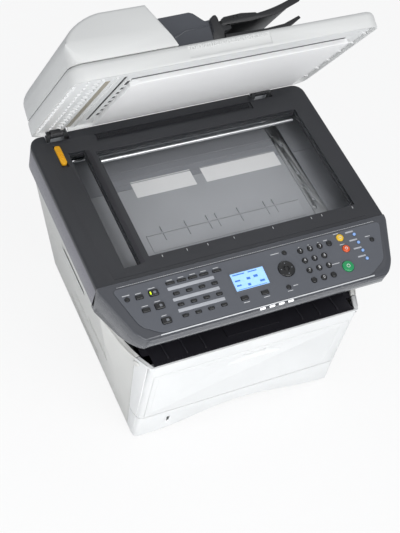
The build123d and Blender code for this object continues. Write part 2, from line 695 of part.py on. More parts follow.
display_left = -47.0
display_right = 11.5
display_rear = -33.0
display_front = -65.0
with BuildPart() as panel_face:
    with BuildSketch(panel_plane) as face_outline_plan:
        with BuildLine():
            Polyline((-228, -11), (-208, -76), (-180, -95), (176, -95), (208, -76), (232, -11), close=True)
        make_face()
        fillet(face_outline_plan.vertices(), 8)
    extrude(amount=1.2)
    with BuildSketch(panel_plane) as key_holes:
        face_holes()
        with Locations(((display_left + display_right) / 2, (display_rear + display_front) / 2)):
            Rectangle(display_right - display_left + 0.4, display_rear - display_front + 0.4)
    extrude(amount=3, mode=Mode.SUBTRACT)
save(panel_face, "panel_face")

with BuildPart(panel_plane) as display:
    block(display_left, display_right, display_front, display_rear, -4, 0.8)
save(display, "display")

key_bottom = -4.0


def key_plan_block(name, draw, top):
    """One group of keys: the sketch that draw makes, raised from under the face to its top."""
    with BuildPart() as keys:
        with BuildSketch(panel_plane.offset(key_bottom)):
            draw()
        extrude(amount=top - key_bottom)
    save(keys, name)


def number_sketch():
    with Locations(number_places, clear_place):
        Circle(number_radius)


def function_sketch():
    with Locations(round_places, power_place):
        Circle(small_radius)
    with Locations(function_places, soft_places):
        RectangleRounded(12, 6.5, 1.5)
    with Locations([(column, bar_row) for column in bar_columns]):
        RectangleRounded(14, 4, 0.9)
    with Locations(program_places):
        Circle(2.6)
    for row in touch_rows:
        for column in touch_columns:
            with Locations((column + (touch_rows[0] - row) * 0.12, row)):
                RectangleRounded(9.5, 4.6, 1.7)


def mode_sketch():
    with Locations(copy_place, send_place, fax_place):
        RectangleRounded(15, 10, 2.3)


def stop_sketch():
    with Locations(reset_place, stop_place):
        Circle(6.2)


def start_sketch():
    with Locations(start_place):
        Circle(9.5)


def arrow_sketch():
    with Locations(nav_place):
        Circle(nav_radius)
        Circle(ok_radius + key_gap, mode=Mode.SUBTRACT)
        Circle(ok_radius)


key_plan_block("number_keys", number_sketch, 3.2)
key_plan_block("function_keys", function_sketch, 2.6)
key_plan_block("mode_keys", mode_sketch, 3.0)
key_plan_block("stop_keys", stop_sketch, 3.0)
key_plan_block("start_key", start_sketch, 3.4)
key_plan_block("arrow_keys", arrow_sketch, 3.2)

# Lid hinges: ears fixed to the scanner, a knuckle on the lid and a pin through both.
with BuildPart() as hinge_brackets:
    for place in hinge_places:
        block(place - 17, place + 17, lid_hinge_depth - 10 - middle_depth, scanner_depth - middle_depth,
              scanner_top - 14, scanner_top - 10.5)
        for side in (-1, 1):
            block(place + side * 14 - 3, place + side * 14 + 3, lid_hinge_depth - 5 - middle_depth,
                  lid_hinge_depth + 5 - middle_depth, scanner_top - 14, lid_hinge_height + 5)
            bar(hinge_pin_radius + running_gap, place + side * 14 - 4, place + side * 14 + 4,
                lid_hinge_depth - middle_depth, lid_hinge_height, mode=Mode.SUBTRACT)
save(hinge_brackets, "hinge_brackets")

with BuildPart(lid_plane) as hinge_leaves:
    for place in hinge_places:
        bar(6.0, place - 10.5, place + 10.5, 0, 0)
        block(place - 10.5, place + 10.5, -9.5, -2, 0, 12)
        block(place - 10.5, place + 10.5, -30, -2, 9, 12)
        bar(hinge_pin_radius, place - 17.5, place + 17.5, 0, 0)
save(hinge_leaves, "hinge_leaves")

# Lid: a shallow white tray upside down, closed by its underside.
lid_rear = -4.0
lid_front = -lid_depth
with BuildPart() as lid_shell:
    with BuildSketch(lid_plane) as lid_plan:
        with Locations((0, (lid_front + lid_rear) / 2)):
            Rectangle(2 * scanner_half_width, lid_rear - lid_front)
        fillet(lid_plan.vertices(), 22)
    extrude(amount=lid_rim)
    fillet(lid_shell.faces().sort_by(Axis((0, 0, 0), tuple(lid_plane.z_dir)))[-1].edges(), 8)
    with BuildSketch(lid_plane.offset(-1)) as lid_hollow:
        with Locations((0, (lid_front + lid_rear) / 2)):
            Rectangle(2 * scanner_half_width - 2 * wall, lid_rear - lid_front - 2 * wall)
        fillet(lid_hollow.vertices(), 19)
    extrude(amount=lid_rim - 8, mode=Mode.SUBTRACT)
    with BuildSketch(lid_plane.offset(-1)) as hinge_notches:
        for place in hinge_places:
            with Locations((place, -6)):
                Rectangle(37, 12)
    extrude(amount=15, mode=Mode.SUBTRACT)
save(lid_shell, "lid_shell")

with BuildPart() as lid_underside:
    with BuildSketch(lid_plane.offset(6)) as underside_plan:
        with Locations((0, (lid_front + lid_rear) / 2)):
            Rectangle(2 * scanner_half_width - 7, lid_rear - lid_front - 7)
        fillet(underside_plan.vertices(), 18)
    extrude(amount=2.5)
    with BuildSketch(lid_plane.offset(5)) as feed_slit:
        with Locations((-161, -140)):
            Rectangle(5, 210)
        with Locations((-148, -138)):
            Rectangle(6, 180)
        for place in hinge_places:
            with Locations((place, -6)):
                Rectangle(37, 12)
    extrude(amount=5, mode=Mode.SUBTRACT)
    with BuildSketch(lid_plane.offset(0.5)) as edge_rail:
        with Locations((-176, -143)):
            Rectangle(14, 228)
    extrude(amount=5.5)
save(lid_underside, "lid_underside")

mat_left = -141.0
mat_right = 222.0
mat_rear = -10.0
mat_front = -228.0
with BuildPart() as document_mat:
    with BuildSketch(lid_plane.offset(-1.5)) as mat_plan:
        with Locations(((mat_left + mat_right) / 2, (mat_front + mat_rear) / 2)):
            Rectangle(mat_right - mat_left, mat_rear - mat_front)
        fillet(mat_plan.vertices(), 4)
    extrude(amount=7.3)
save(document_mat, "document_mat")

# Feeder: the paper path and its covers on the left of the lid.
cover_left = -243.0
cover_curve = -177.0
cover_flat = -108.0
cover_low = lid_rim + 0.5
feeder_front = lid_front + 2
feeder_rear = -12.0
feeder_length = feeder_rear - feeder_front


def feeder_profile(plane, inset):
    """The feeder's outline seen from the front, drawn inset by a wall's thickness."""
    with BuildSketch(plane) as profile:
        with BuildLine():
            Polyline(
                (cover_curve + inset, feeder_height - inset), (cover_flat - inset, feeder_height - inset),
                (feeder_reach - inset, cover_low), (cover_left + inset, cover_low),
                (cover_left + inset, cover_low + 24),
            )
            ThreePointArc(
                (cover_left + inset, cover_low + 24), (cover_left + 20 + inset, 78 - inset),
                (cover_curve + inset, feeder_height - inset),
            )
        make_face()
    return profile.sketch


feeder_plane = Plane(
    origin=lid_plane.from_local_coords((0, feeder_front, 0)),
    x_dir=(1, 0, 0),
    z_dir=lid_plane.from_local_coords(Vector(0, -1, 0)) - lid_plane.origin,
)
with BuildPart() as adf_cover:
    extrude(feeder_profile(feeder_plane, 0), amount=-feeder_length)
    hinge_corner = lid_plane.from_local_coords(Vector(cover_left, (feeder_front + feeder_rear) / 2, cover_low))
    fillet(adf_cover.edges().filter_by(Axis((0, 0, 0), tuple(lid_plane.y_dir))).sort_by_distance(hinge_corner)[0], 1.5)
    extrude(feeder_profile(feeder_plane.offset(-2.5), 2.5), amount=5 - feeder_length, mode=Mode.SUBTRACT)
    with BuildSketch(feeder_plane.offset(-2.5)) as hump_mouth:
        with Locations(((feeder_reach + cover_left) / 2, cover_low)):
            Rectangle(feeder_reach - cover_left - 5, 8)
        with Locations((-90, cover_low + 22)):
            Rectangle(30, 48)
    extrude(amount=5 - feeder_length, mode=Mode.SUBTRACT)
save(adf_cover, "adf_cover")

feed_roller_x = -150.0
turn_roller_x = -205.0
with BuildPart(lid_plane) as feeder_frame:
    for low, high in ((-262, -256), (-36, -30)):
        block(-228, -110, low, high, cover_low, 66)
    block(-228, -76, -256, -36, cover_low, cover_low + 4)
    for low, high in ((-276, -262), (-34, -20)):
        block(-79, 14, low, high, cover_low, 70)
    block(-79, 2, -262, -34, 50, 54)
    block(16, 150, -230, -66, cover_low, cover_low + 3)
    block(140, 150, -230, -66, cover_low + 3, cover_low + 10)
    for place, height in ((feed_roller_x, 54), (turn_roller_x, 48)):
        with Locations((place, -146, height)):
            Cylinder(3.0 + running_gap, 240, rotation=(90, 0, 0), mode=Mode.SUBTRACT)
save(feeder_frame, "feeder_frame")

with BuildPart(lid_plane) as feed_roller:
    with Locations((feed_roller_x, -146, 54)):
        Cylinder(3.0, 236, rotation=(90, 0, 0))
        Cylinder(11.0, 60, rotation=(90, 0, 0))
save(feed_roller, "feed_roller")

with BuildPart(lid_plane) as turn_roller:
    with Locations((turn_roller_x, -146, 48)):
        Cylinder(3.0, 236, rotation=(90, 0, 0))
        Cylinder(13.0, 200, rotation=(90, 0, 0))
save(turn_roller, "turn_roller")

# Document table: a flap that lifts, and the two guides on it that move together.
table_turn = 16.0
table_hinge_x = 6.0
table_hinge_z = 56.0
table_plane = Plane(
    origin=lid_plane.from_local_coords((table_hinge_x, 0, table_hinge_z)),
    x_dir=lid_plane.from_local_coords(Vector(cos(radians(table_turn)), 0, sin(radians(table_turn)))) - lid_plane.origin,
    z_dir=lid_plane.from_local_coords(Vector(-sin(radians(table_turn)), 0, cos(radians(table_turn)))) - lid_plane.origin,
)
with BuildPart(table_plane) as document_table:
    block(-1, 148, -258, -38, 0, 4)
    block(2, 148, -258, -38, -5, 0)
    block(6, 144, -254, -42, -6, -1.5, mode=Mode.SUBTRACT)
    with Locations((0, -148, 0)):
        Cylinder(3.0, 220, rotation=(90, 0, 0))
save(document_table, "document_table")

for side, name in ((-1, "front_document_guide"), (1, "rear_document_guide")):
    with BuildPart(table_plane) as document_guide:
        near = -148 + side * 105
        far = -148 + side * 108
        block(4, 70, min(near, far), max(near, far), 4.3, 22)
        foot = -148 + side * 96
        block(12, 50, min(near, foot), max(near, foot), 4.3, 6)
    save(document_guide, name)
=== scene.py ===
import bpy
from math import cos, pi, radians, sin
from mathutils import Matrix, Vector
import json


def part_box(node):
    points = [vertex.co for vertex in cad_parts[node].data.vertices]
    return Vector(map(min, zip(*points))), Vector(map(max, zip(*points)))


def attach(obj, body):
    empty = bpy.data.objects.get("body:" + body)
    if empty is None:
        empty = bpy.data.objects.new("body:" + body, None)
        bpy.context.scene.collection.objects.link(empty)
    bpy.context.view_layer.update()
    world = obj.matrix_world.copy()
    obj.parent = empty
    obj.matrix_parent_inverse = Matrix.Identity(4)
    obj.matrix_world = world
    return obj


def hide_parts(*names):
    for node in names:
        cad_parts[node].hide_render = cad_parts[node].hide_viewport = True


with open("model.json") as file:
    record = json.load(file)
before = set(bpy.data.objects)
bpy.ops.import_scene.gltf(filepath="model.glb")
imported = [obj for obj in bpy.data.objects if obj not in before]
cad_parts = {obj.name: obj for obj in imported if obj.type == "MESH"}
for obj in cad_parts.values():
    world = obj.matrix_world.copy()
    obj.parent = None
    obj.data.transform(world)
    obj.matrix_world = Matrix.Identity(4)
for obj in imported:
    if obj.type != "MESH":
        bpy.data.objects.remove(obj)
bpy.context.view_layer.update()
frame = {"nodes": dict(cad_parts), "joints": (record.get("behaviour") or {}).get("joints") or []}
bpy.ops.object.select_all(action="DESELECT")

# Pieces are modelled in millimetres, lying flat, and then set into the machine, the panel or the lid.
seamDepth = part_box("scanner_frame")[0].y  # the seam between the scanner's top and the panel
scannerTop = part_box("scanner_frame")[1].z
joints = {joint["name"]: joint for joint in frame["joints"]}
lidHinge = Vector(joints["lid_hinge"]["pos_m"])
lidAngle = radians(62)
panelSlope = radians(8)
tableHinge = (6, 0, 56)  # in the plane of the lid
tableLean = radians(-16)
millimetres = Matrix.Scale(0.001, 4)
machine = Matrix.Translation((0, seamDepth, 0)) @ millimetres
panelPlane = Matrix.Translation((0, seamDepth, scannerTop)) @ Matrix.Rotation(panelSlope, 4, "X")
panelPlane = panelPlane @ millimetres
lidPlane = Matrix.Translation(lidHinge) @ Matrix.Rotation(-lidAngle, 4, "X") @ millimetres
tablePlane = lidPlane @ Matrix.Translation(tableHinge) @ Matrix.Rotation(tableLean, 4, "Y")


# Modelling tools

def selectOnly(piece):
    if bpy.context.mode != "OBJECT":
        bpy.ops.object.mode_set(mode="OBJECT")
    bpy.ops.object.select_all(action="DESELECT")
    piece.select_set(True)
    bpy.context.view_layer.objects.active = piece


def editAll(piece):  # edit mode, with the whole piece selected
    selectOnly(piece)
    bpy.ops.object.mode_set(mode="EDIT")
    bpy.ops.mesh.select_all(action="SELECT")


def addBlock(name, xLow, xHigh, yLow, yHigh, zLow, zHigh):
    bpy.ops.object.select_all(action="DESELECT")
    centre = ((xLow + xHigh) / 2, (yLow + yHigh) / 2, (zLow + zHigh) / 2)
    bpy.ops.mesh.primitive_cube_add(size=1, location=centre)
    piece = bpy.context.object
    piece.name = name
    piece.scale = (xHigh - xLow, yHigh - yLow, zHigh - zLow)
    bpy.ops.object.transform_apply(location=True, rotation=True, scale=True)
    return piece


def addDisc(name, radius, centre, low, high, along="z", sides=32):
    bpy.ops.object.select_all(action="DESELECT")
    middle = (low + high) / 2
    a, b = centre
    place = {"x": (middle, a, b), "y": (a, middle, b), "z": (a, b, middle)}[along]
    turn = {"x": (0, pi / 2, 0), "y": (pi / 2, 0, 0), "z": (0, 0, 0)}[along]
    bpy.ops.mesh.primitive_cylinder_add(
        vertices=sides, radius=radius, depth=high - low, location=place, rotation=turn
    )
    piece = bpy.context.object
    piece.name = name
    bpy.ops.object.transform_apply(location=True, rotation=True, scale=True)
    return piece


def addOutline(name, points, low, high, across="z"):  # a closed outline, pushed from low to high
    bpy.ops.object.select_all(action="DESELECT")
    bpy.ops.mesh.primitive_circle_add(vertices=len(points), fill_type="NGON")
    piece = bpy.context.object
    piece.name = name
    for vertex, (a, b) in zip(piece.data.vertices, points):
        vertex.co = {"x": (low, a, b), "y": (a, low, b), "z": (a, b, low)}[across]
    push = {"x": (high - low, 0, 0), "y": (0, high - low, 0), "z": (0, 0, high - low)}[across]
    bpy.ops.object.mode_set(mode="EDIT")
    bpy.ops.mesh.select_all(action="SELECT")
    bpy.ops.mesh.extrude_region_move(TRANSFORM_OT_translate={"value": push})
    bpy.ops.mesh.select_all(action="SELECT")
    bpy.ops.mesh.normals_make_consistent(inside=False)
    bpy.ops.object.mode_set(mode="OBJECT")
    return piece


def pickEdges(piece, test):  # test gets the edge's two ends
    selectOnly(piece)
    bpy.ops.object.mode_set(mode="EDIT")
    bpy.ops.mesh.select_mode(type="EDGE")
    bpy.ops.mesh.select_all(action="DESELECT")
    bpy.ops.object.mode_set(mode="OBJECT")
    corners = piece.data.vertices
    for edge in piece.data.edges:
        edge.select = test(corners[edge.vertices[0]].co, corners[edge.vertices[1]].co)
    bpy.ops.object.mode_set(mode="EDIT")


def roundEdges(piece, width, segments, test):
    pickEdges(piece, test)
    bpy.ops.mesh.bevel(offset=width, segments=segments, affect="EDGES", profile=0.5)
    bpy.ops.object.mode_set(mode="OBJECT")


def applyLast(piece):
    selectOnly(piece)
    bpy.ops.object.modifier_apply(modifier=piece.modifiers[-1].name)


def combine(piece, tool, operation):
    change = piece.modifiers.new("combine", "BOOLEAN")
    change.operation = operation
    change.object = tool
    change.solver = "EXACT"
    applyLast(piece)
    bpy.data.objects.remove(tool)


def cut(piece, *tools):
    for tool in tools:
        combine(piece, tool, "DIFFERENCE")


def add(piece, *tools):
    for tool in tools:
        combine(piece, tool, "UNION")


def soften(piece, width, segments=2, angle=30):  # small rounds on every sharp edge
    change = piece.modifiers.new("soften", "BEVEL")
    change.width = width
    change.segments = segments
    change.limit_method = "ANGLE"
    change.angle_limit = radians(angle)
    change.harden_normals = False
    applyLast(piece)


def gather(name, pieces):  # one object of several loose ones
    bpy.ops.object.select_all(action="DESELECT")
    for piece in pieces:
        piece.select_set(True)
    bpy.context.view_layer.objects.active = pieces[0]
    if len(pieces) > 1:
        bpy.ops.object.join()
    whole = bpy.context.view_layer.objects.active
    whole.name = name
    return whole


def repeat(piece, shifts):  # the piece and its copies, joined
    copies = []
    for shift in shifts:
        copy = piece.copy()
        copy.data = piece.data.copy()
        copy.data.transform(Matrix.Translation(shift))
        bpy.context.collection.objects.link(copy)
        copies.append(copy)
    name = piece.name
    bpy.data.objects.remove(piece)
    return gather(name, copies)


def setInto(piece, plane):  # from the flat, in millimetres, into the machine
    selectOnly(piece)
    piece.matrix_world = plane
    bpy.ops.object.transform_apply(location=True, rotation=True, scale=True)


def clad(piece, plane, body, finish, stands=(), angle=32):
    setInto(piece, plane)
    selectOnly(piece)
    bpy.ops.object.shade_smooth_by_angle(angle=radians(angle))
    if finish is not None:
        piece.data.materials.clear()
        piece.data.materials.append(finish)
    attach(piece, body)
    if stands:
        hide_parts(*stands)
    return piece


# Small helpers for outlines, edges and mirrored places

def rectangle(xLow, xHigh, yLow, yHigh):
    return [(xLow, yLow), (xHigh, yLow), (xHigh, yHigh), (xLow, yHigh)]


def upright(a, b):  # an edge that stands along Z
    return abs(a.x - b.x) < 0.01 and abs(a.y - b.y) < 0.01


def alongWidth(a, b):  # an edge along X
    return abs(a.y - b.y) < 0.1 and abs(a.z - b.z) < 0.1


def alongDepth(a, b):  # an edge along Y
    return abs(a.x - b.x) < 0.1 and abs(a.z - b.z) < 0.1


def span(sign, inner, outer, middle=0):  # low and high of a stretch on one side of a middle line
    return sorted((middle + sign * inner, middle + sign * outer))


# Finishes

def hexColour(code):  # an sRGB hex value as linear light
    channels = [int(code[place:place + 2], 16) / 255 for place in (0, 2, 4)]
    return [c / 12.92 if c <= 0.04045 else ((c + 0.055) / 1.055) ** 2.4 for c in channels] + [1.0]


def addNode(tree, kind, settings, links=()):
    node = tree.nodes.new(kind)
    for name, value in settings.items():
        if name in node.inputs:
            node.inputs[name].default_value = value
        else:
            setattr(node, name, value)
    for source, output, target in links:
        tree.links.new(source.outputs[output], node.inputs[target])
    return node


def startMaterial(name):
    material = bpy.data.materials.new(name)
    material.use_nodes = True
    tree = material.node_tree
    shader = tree.nodes["Principled BSDF"]
    place = addNode(tree, "ShaderNodeTexCoord", {})
    return material, tree, shader, place


def addPattern(tree, kind, settings, place):  # a pattern that stays in place on the piece
    return addNode(tree, kind, settings, [(place, "Object", "Vector")])


def varyRoughness(tree, shader, pattern, output, low, high):
    polish = addNode(tree, "ShaderNodeMapRange", {"To Min": low, "To Max": high},
                     [(pattern, output, "Value")])
    tree.links.new(polish.outputs["Result"], shader.inputs["Roughness"])


def addRelief(tree, shader, pattern, output, strength, distance=0.0002):
    relief = addNode(tree, "ShaderNodeBump", {"Strength": strength, "Distance": distance},
                     [(pattern, output, "Height")])
    tree.links.new(relief.outputs["Normal"], shader.inputs["Normal"])


def mixShades(tree, pattern, first, second):
    shades = addNode(tree, "ShaderNodeMix", {"data_type": "RGBA"}, [(pattern, "Fac", "Factor")])
    shades.inputs["A"].default_value = hexColour(first)
    shades.inputs["B"].default_value = hexColour(second)
    return shades


def mouldedPlastic(name, code, roughness, grainSize, grainDepth, cloud=0.02, coat=0.0):
    # Moulded ABS keeps the spark-eroded grain of its tool, and its shade drifts a little over it.
    material, tree, shader, place = startMaterial(name)
    grain = addPattern(tree, "ShaderNodeTexNoise",
                       {"Scale": 1000 / grainSize, "Detail": 2.0, "Roughness": 0.6}, place)
    drift = addPattern(tree, "ShaderNodeTexNoise", {"Scale": 9.0, "Detail": 3.0}, place)
    base = hexColour(code)
    shades = addNode(tree, "ShaderNodeValToRGB", {}, [(drift, "Fac", "Fac")])
    for number, (position, share) in enumerate(((0.3, 1 - cloud), (0.7, 1 + cloud))):
        shades.color_ramp.elements[number].position = position
        shades.color_ramp.elements[number].color = [min(1, c * share) for c in base[:3]] + [1]
    tree.links.new(shades.outputs["Color"], shader.inputs["Base Color"])
    varyRoughness(tree, shader, grain, "Fac", roughness * 0.9, min(1, roughness * 1.12))
    addRelief(tree, shader, grain, "Fac", grainDepth)
    shader.inputs["IOR"].default_value = 1.5
    if coat:
        shader.inputs["Coat Weight"].default_value = coat
        shader.inputs["Coat Roughness"].default_value = 0.08
    return material


def sheetMetal(name, code, roughness, streak):
    # Zinc-coated sheet and ground bar: bright metal with fine rolling or grinding lines along X.
    material, tree, shader, place = startMaterial(name)
    stretch = addPattern(tree, "ShaderNodeMapping", {"Scale": (20, 900, 900)}, place)
    lines = addNode(tree, "ShaderNodeTexNoise", {"Scale": 1.0, "Detail": 3.0},
                    [(stretch, "Vector", "Vector")])
    shader.inputs["Metallic"].default_value = 1.0
    shader.inputs["Base Color"].default_value = hexColour(code)
    varyRoughness(tree, shader, lines, "Fac", roughness - streak, roughness + streak)
    addRelief(tree, shader, lines, "Fac", 0.15, 0.0001)
    return material


def softRubber(name, code):
    # Ground rubber: matt, with a fine tooth that grips the paper.
    material, tree, shader, place = startMaterial(name)
    tooth = addPattern(tree, "ShaderNodeTexVoronoi", {"Scale": 900.0}, place)
    shader.inputs["Base Color"].default_value = hexColour(code)
    varyRoughness(tree, shader, tooth, "Distance", 0.65, 0.85)
    addRelief(tree, shader, tooth, "Distance", 0.3)
    return material


def floatGlass(name):
    # Float glass seen from above: nearly clear, with more sheen at a flat angle.
    material, tree, shader, place = startMaterial(name)
    shader.inputs["Roughness"].default_value = 0.02
    shader.inputs["IOR"].default_value = 1.52
    smears = addPattern(tree, "ShaderNodeTexNoise", {"Scale": 14.0, "Detail": 2.0}, place)
    tint = mixShades(tree, smears, "3c4345", "454c4d")
    tree.links.new(tint.outputs["Result"], shader.inputs["Base Color"])
    facing = addNode(tree, "ShaderNodeLayerWeight", {"Blend": 0.5})
    sheen = addNode(tree, "ShaderNodeMath", {"operation": "POWER"}, [(facing, "Facing", 0)])
    sheen.inputs[1].default_value = 3.0
    cover = addNode(tree, "ShaderNodeMapRange", {"To Min": 0.02, "To Max": 0.5},
                    [(sheen, "Value", "Value")])
    tree.links.new(cover.outputs["Result"], shader.inputs["Alpha"])
    return material


def litPlastic(name, code, glow, strength, roughness=0.3):
    # Clear plastic with a lamp behind it: an even colour with a little light of its own.
    material, tree, shader, place = startMaterial(name)
    cells = addPattern(tree, "ShaderNodeTexNoise", {"Scale": 300.0, "Detail": 1.0}, place)
    shades = mixShades(tree, cells, code, glow)
    tree.links.new(shades.outputs["Result"], shader.inputs["Base Color"])
    tree.links.new(shades.outputs["Result"], shader.inputs["Emission Color"])
    shader.inputs["Emission Strength"].default_value = strength
    shader.inputs["Roughness"].default_value = roughness
    return material


whiteAbs = mouldedPlastic("white ABS casing", "e9eaea", 0.42, 1.6, 0.25)  # bright, with a soft sheen
shadedLidAbs = mouldedPlastic("white ABS lid, greyed as painted shade", "dedfde", 0.42, 1.6, 0.25)  # a greyer copy of the white ABS: painted shade on the lid and the feeder's hump
shadedWarmAbs = mouldedPlastic("warm white ABS, darkened as painted shade", "d8d8d5", 0.45, 1.6, 0.3)  # a little warmer, and darker than the front as painted shade on the side and rear covers
charcoalAbs = mouldedPlastic("charcoal ABS scanner top", "323337", 0.38, 1.4, 0.35, 0.05)  # even sheen
sideAbs = mouldedPlastic("grey satin ABS scanner side", "807f87", 0.28, 1.8, 0.15, 0.03, 0.25)  # side band
panelPaint = mouldedPlastic("silver-grey painted panel", "5f6269", 0.36, 0.9, 0.2, 0.03)  # metallic paint
nosePaint = mouldedPlastic("dark satin painted nose", "4a4c52", 0.22, 1.5, 0.08, 0.03, 0.4)  # rolled edge
trayAbs = mouldedPlastic("black ABS tray", "242329", 0.45, 1.4, 0.4, 0.06)  # black with a moulded grain
innerAbs = mouldedPlastic("black polycarbonate works", "202124", 0.4, 1.4, 0.3, 0.06)  # frames, boxes
floorAbs = mouldedPlastic("grey ABS scanner floor", "b6b8bc", 0.5, 2.0, 0.2, 0.05)  # under the glass
shadedRearFloor = mouldedPlastic("scanner floor grey, darkened as painted shade", "95979c", 0.5, 2.0, 0.2, 0.05)  # the floor's rear and right side, darkened as painted shade
keyAbs = mouldedPlastic("black moulded key", "17181a", 0.25, 0.8, 0.08, 0.04, 0.3)  # smooth, glossy domes
yellowAbs = mouldedPlastic("yellow moulded key", "f2c528", 0.3, 0.8, 0.06, 0.02, 0.3)  # reset
orangeAbs = mouldedPlastic("orange moulded key", "e2571a", 0.3, 0.8, 0.06, 0.02, 0.3)  # stop
greenAbs = mouldedPlastic("green moulded key", "1e9a5c", 0.3, 0.8, 0.06, 0.02, 0.3)  # start
blueAbs = mouldedPlastic("pale blue moulded key", "93b9f4", 0.3, 0.8, 0.06, 0.02, 0.3)  # programs
amberAcetal = mouldedPlastic("amber acetal slider", "f0b01c", 0.32, 1.0, 0.1, 0.03)  # waxy, strong colour
labelFilm = mouldedPlastic("pale printed film", "b9bcc2", 0.5, 0.8, 0.05, 0.02)  # blank label strips
noseHighlightPaint = mouldedPlastic("bright silver painted nose highlight", "d3d5d8", 0.16, 1.2, 0.05, 0.02, 0.5)  # painted highlight: the lamps' reflection along the nose's rolled edge
darkLabel = mouldedPlastic("grey key print", "7e8187", 0.45, 0.8, 0.05, 0.02)  # marks on the dark keys
boxAbs = mouldedPlastic("dark grey ABS feeder box", "43464d", 0.36, 1.4, 0.3, 0.05, 0.1)  # cooler
paperWhite = mouldedPlastic("white film on foam", "f6f6f6", 0.55, 3.0, 0.1, 0.015)  # the lid's document mat
inkWhite = mouldedPlastic("white pad print", "e6e7e9", 0.5, 0.8, 0.03, 0.01)  # figures on the keys
brassFilm = mouldedPlastic("brass-grey guide film", "a8a294", 0.35, 1.0, 0.1, 0.04)  # feeder's guide strip
zincSheet = sheetMetal("zinc-coated steel sheet", "b4b6b8", 0.38, 0.1)  # chassis and brackets
groundSteel = sheetMetal("ground steel bar", "c8c9cb", 0.18, 0.06)  # shafts and the guide rod
brightSteel = sheetMetal("polished steel rod", "f2f3f4", 0.3, 0.1)  # the scan carriage runs on it
rollerRubber = softRubber("ground roller rubber", "1b1b1d")
drumCoat = mouldedPlastic("coated drum", "1f5d52", 0.12, 2.0, 0.02, 0.02, 0.6)  # smooth green coating
boardResin = mouldedPlastic("green circuit board", "14512c", 0.35, 1.0, 0.2, 0.1)  # glass-fibre board
clearGlass = floatGlass("float glass")
displayGlow = litPlastic("backlit display", "8fc0f5", "a6cdf8", 0.55)
displayInk = litPlastic("display cells", "3f76cf", "4a80d6", 0.25)
limeLamp = litPlastic("lime lamp", "c8f000", "dcff20", 1.5)
whiteLamp = litPlastic("white lamp window", "f4f6f8", "ffffff", 0.8)
print("finishes ready")

nodeFinish = [
    (zincSheet, "chassis main_motor hinge_brackets lift_plate"),
    (rollerRubber, "rubber_feet feed_roller turn_roller pickup_roller registration_roller transfer_roller"),
    (rollerRubber, "pressure_roller exit_roller"),
    (shadedWarmAbs, "left_cover right_cover rear_cover rear_door"),
    (trayAbs, "output_tray paper_stopper"),
    (innerAbs, "laser_scanner fuser_housing imaging_unit toner_container fan_frame fan_rotor feeder_frame"),
    (innerAbs, "hinge_leaves document_table front_document_guide rear_document_guide scan_carriage"),
    (innerAbs, "cassette_tray left_paper_guide right_paper_guide end_guide"),
    (boardResin, "main_board power_supply"),
    (groundSteel, "carriage_drive heat_roller"),
    (whiteAbs, "lid_shell lid_underside adf_cover front_cover mp_tray cassette_face"),
    (keyAbs, "power_switch number_keys function_keys mode_keys arrow_keys"),
    (sideAbs, "scanner_case"), (charcoalAbs, "scanner_frame"), (clearGlass, "scanner_glass"),
    (nosePaint, "panel_case"), (panelPaint, "panel_face"), (displayGlow, "display"),
    (paperWhite, "document_mat"),
    (amberAcetal, "lock_slider"), (drumCoat, "drum"), (orangeAbs, "stop_keys"), (greenAbs, "start_key"),
]
for finish, names in nodeFinish:
    for name in names.split():
        node = frame["nodes"][name]
        node.data.materials.clear()
        node.data.materials.append(finish)
print("CAD nodes finished")


# The two black hinges behind the glass stand in notches of the lid and in wells of the scanner.
hinges = {"places": (-201.0, 166.0), "notchHalf": 18.5, "notch": (-12.0, 2.0), "wellHalf": 19.0,
          "wellFront": 285.0}


def cutAtHinges(piece, half, front, back, low, high):
    for place in hinges["places"]:
        cut(piece, addBlock("notch", place - half, place + half, front, back, low, high))


# The lid: a shallow white tray upside down, with a ribbed finger grip let into its front edge.
lid = {
    "halfWidth": 247.0, "front": -291.0, "rear": -4.0, "rim": 26.0, "cornerRadius": 22.0, "topRound": 8.0,
    "wall": 3.0, "grip": (-70.0, 61.0, 4.0, 22.0), "gripDepth": 1.4, "gripRibs": 33,
    "gripRib": (-0.7, 0.7, 0.1, 2.0, 16.5, 21.5),
}


def makeLidShell():
    half, front, back, rim, wall = lid["halfWidth"], lid["front"], lid["rear"], lid["rim"], lid["wall"]
    shell = addOutline("lidShell", rectangle(-half, half, front, back), 0, rim)
    roundEdges(shell, lid["cornerRadius"], 8, upright)
    roundEdges(shell, lid["topRound"], 5, lambda a, b: a.z > rim - 0.1 and b.z > rim - 0.1)
    inner = half - wall
    hollow = addOutline("hollow", rectangle(-inner, inner, front + wall, back - wall), -2,
                        rim - lid["topRound"])
    roundEdges(hollow, lid["cornerRadius"] - wall, 8, upright)
    cut(shell, hollow)
    cutAtHinges(shell, hinges["notchHalf"], *hinges["notch"], -2, 14)
    left, right, low, high = lid["grip"]
    cut(shell, addBlock("grip", left, right, front - 5, front + lid["gripDepth"], low, high))
    soften(shell, 0.8)
    pitch = (right - left - 6) / lid["gripRibs"]
    xLow, xHigh, near, far, zLow, zHigh = lid["gripRib"]
    rib = addBlock("gripRibs", xLow, xHigh, front + near, front + far, zLow, zHigh)
    ribs = repeat(rib, [(left + 5 + number * pitch, 0, 0) for number in range(lid["gripRibs"])])
    soften(ribs, 0.3, 1)
    clad(gather("lidShell", [shell, ribs]), lidPlane, "lid", shadedLidAbs, ["lid_shell"])


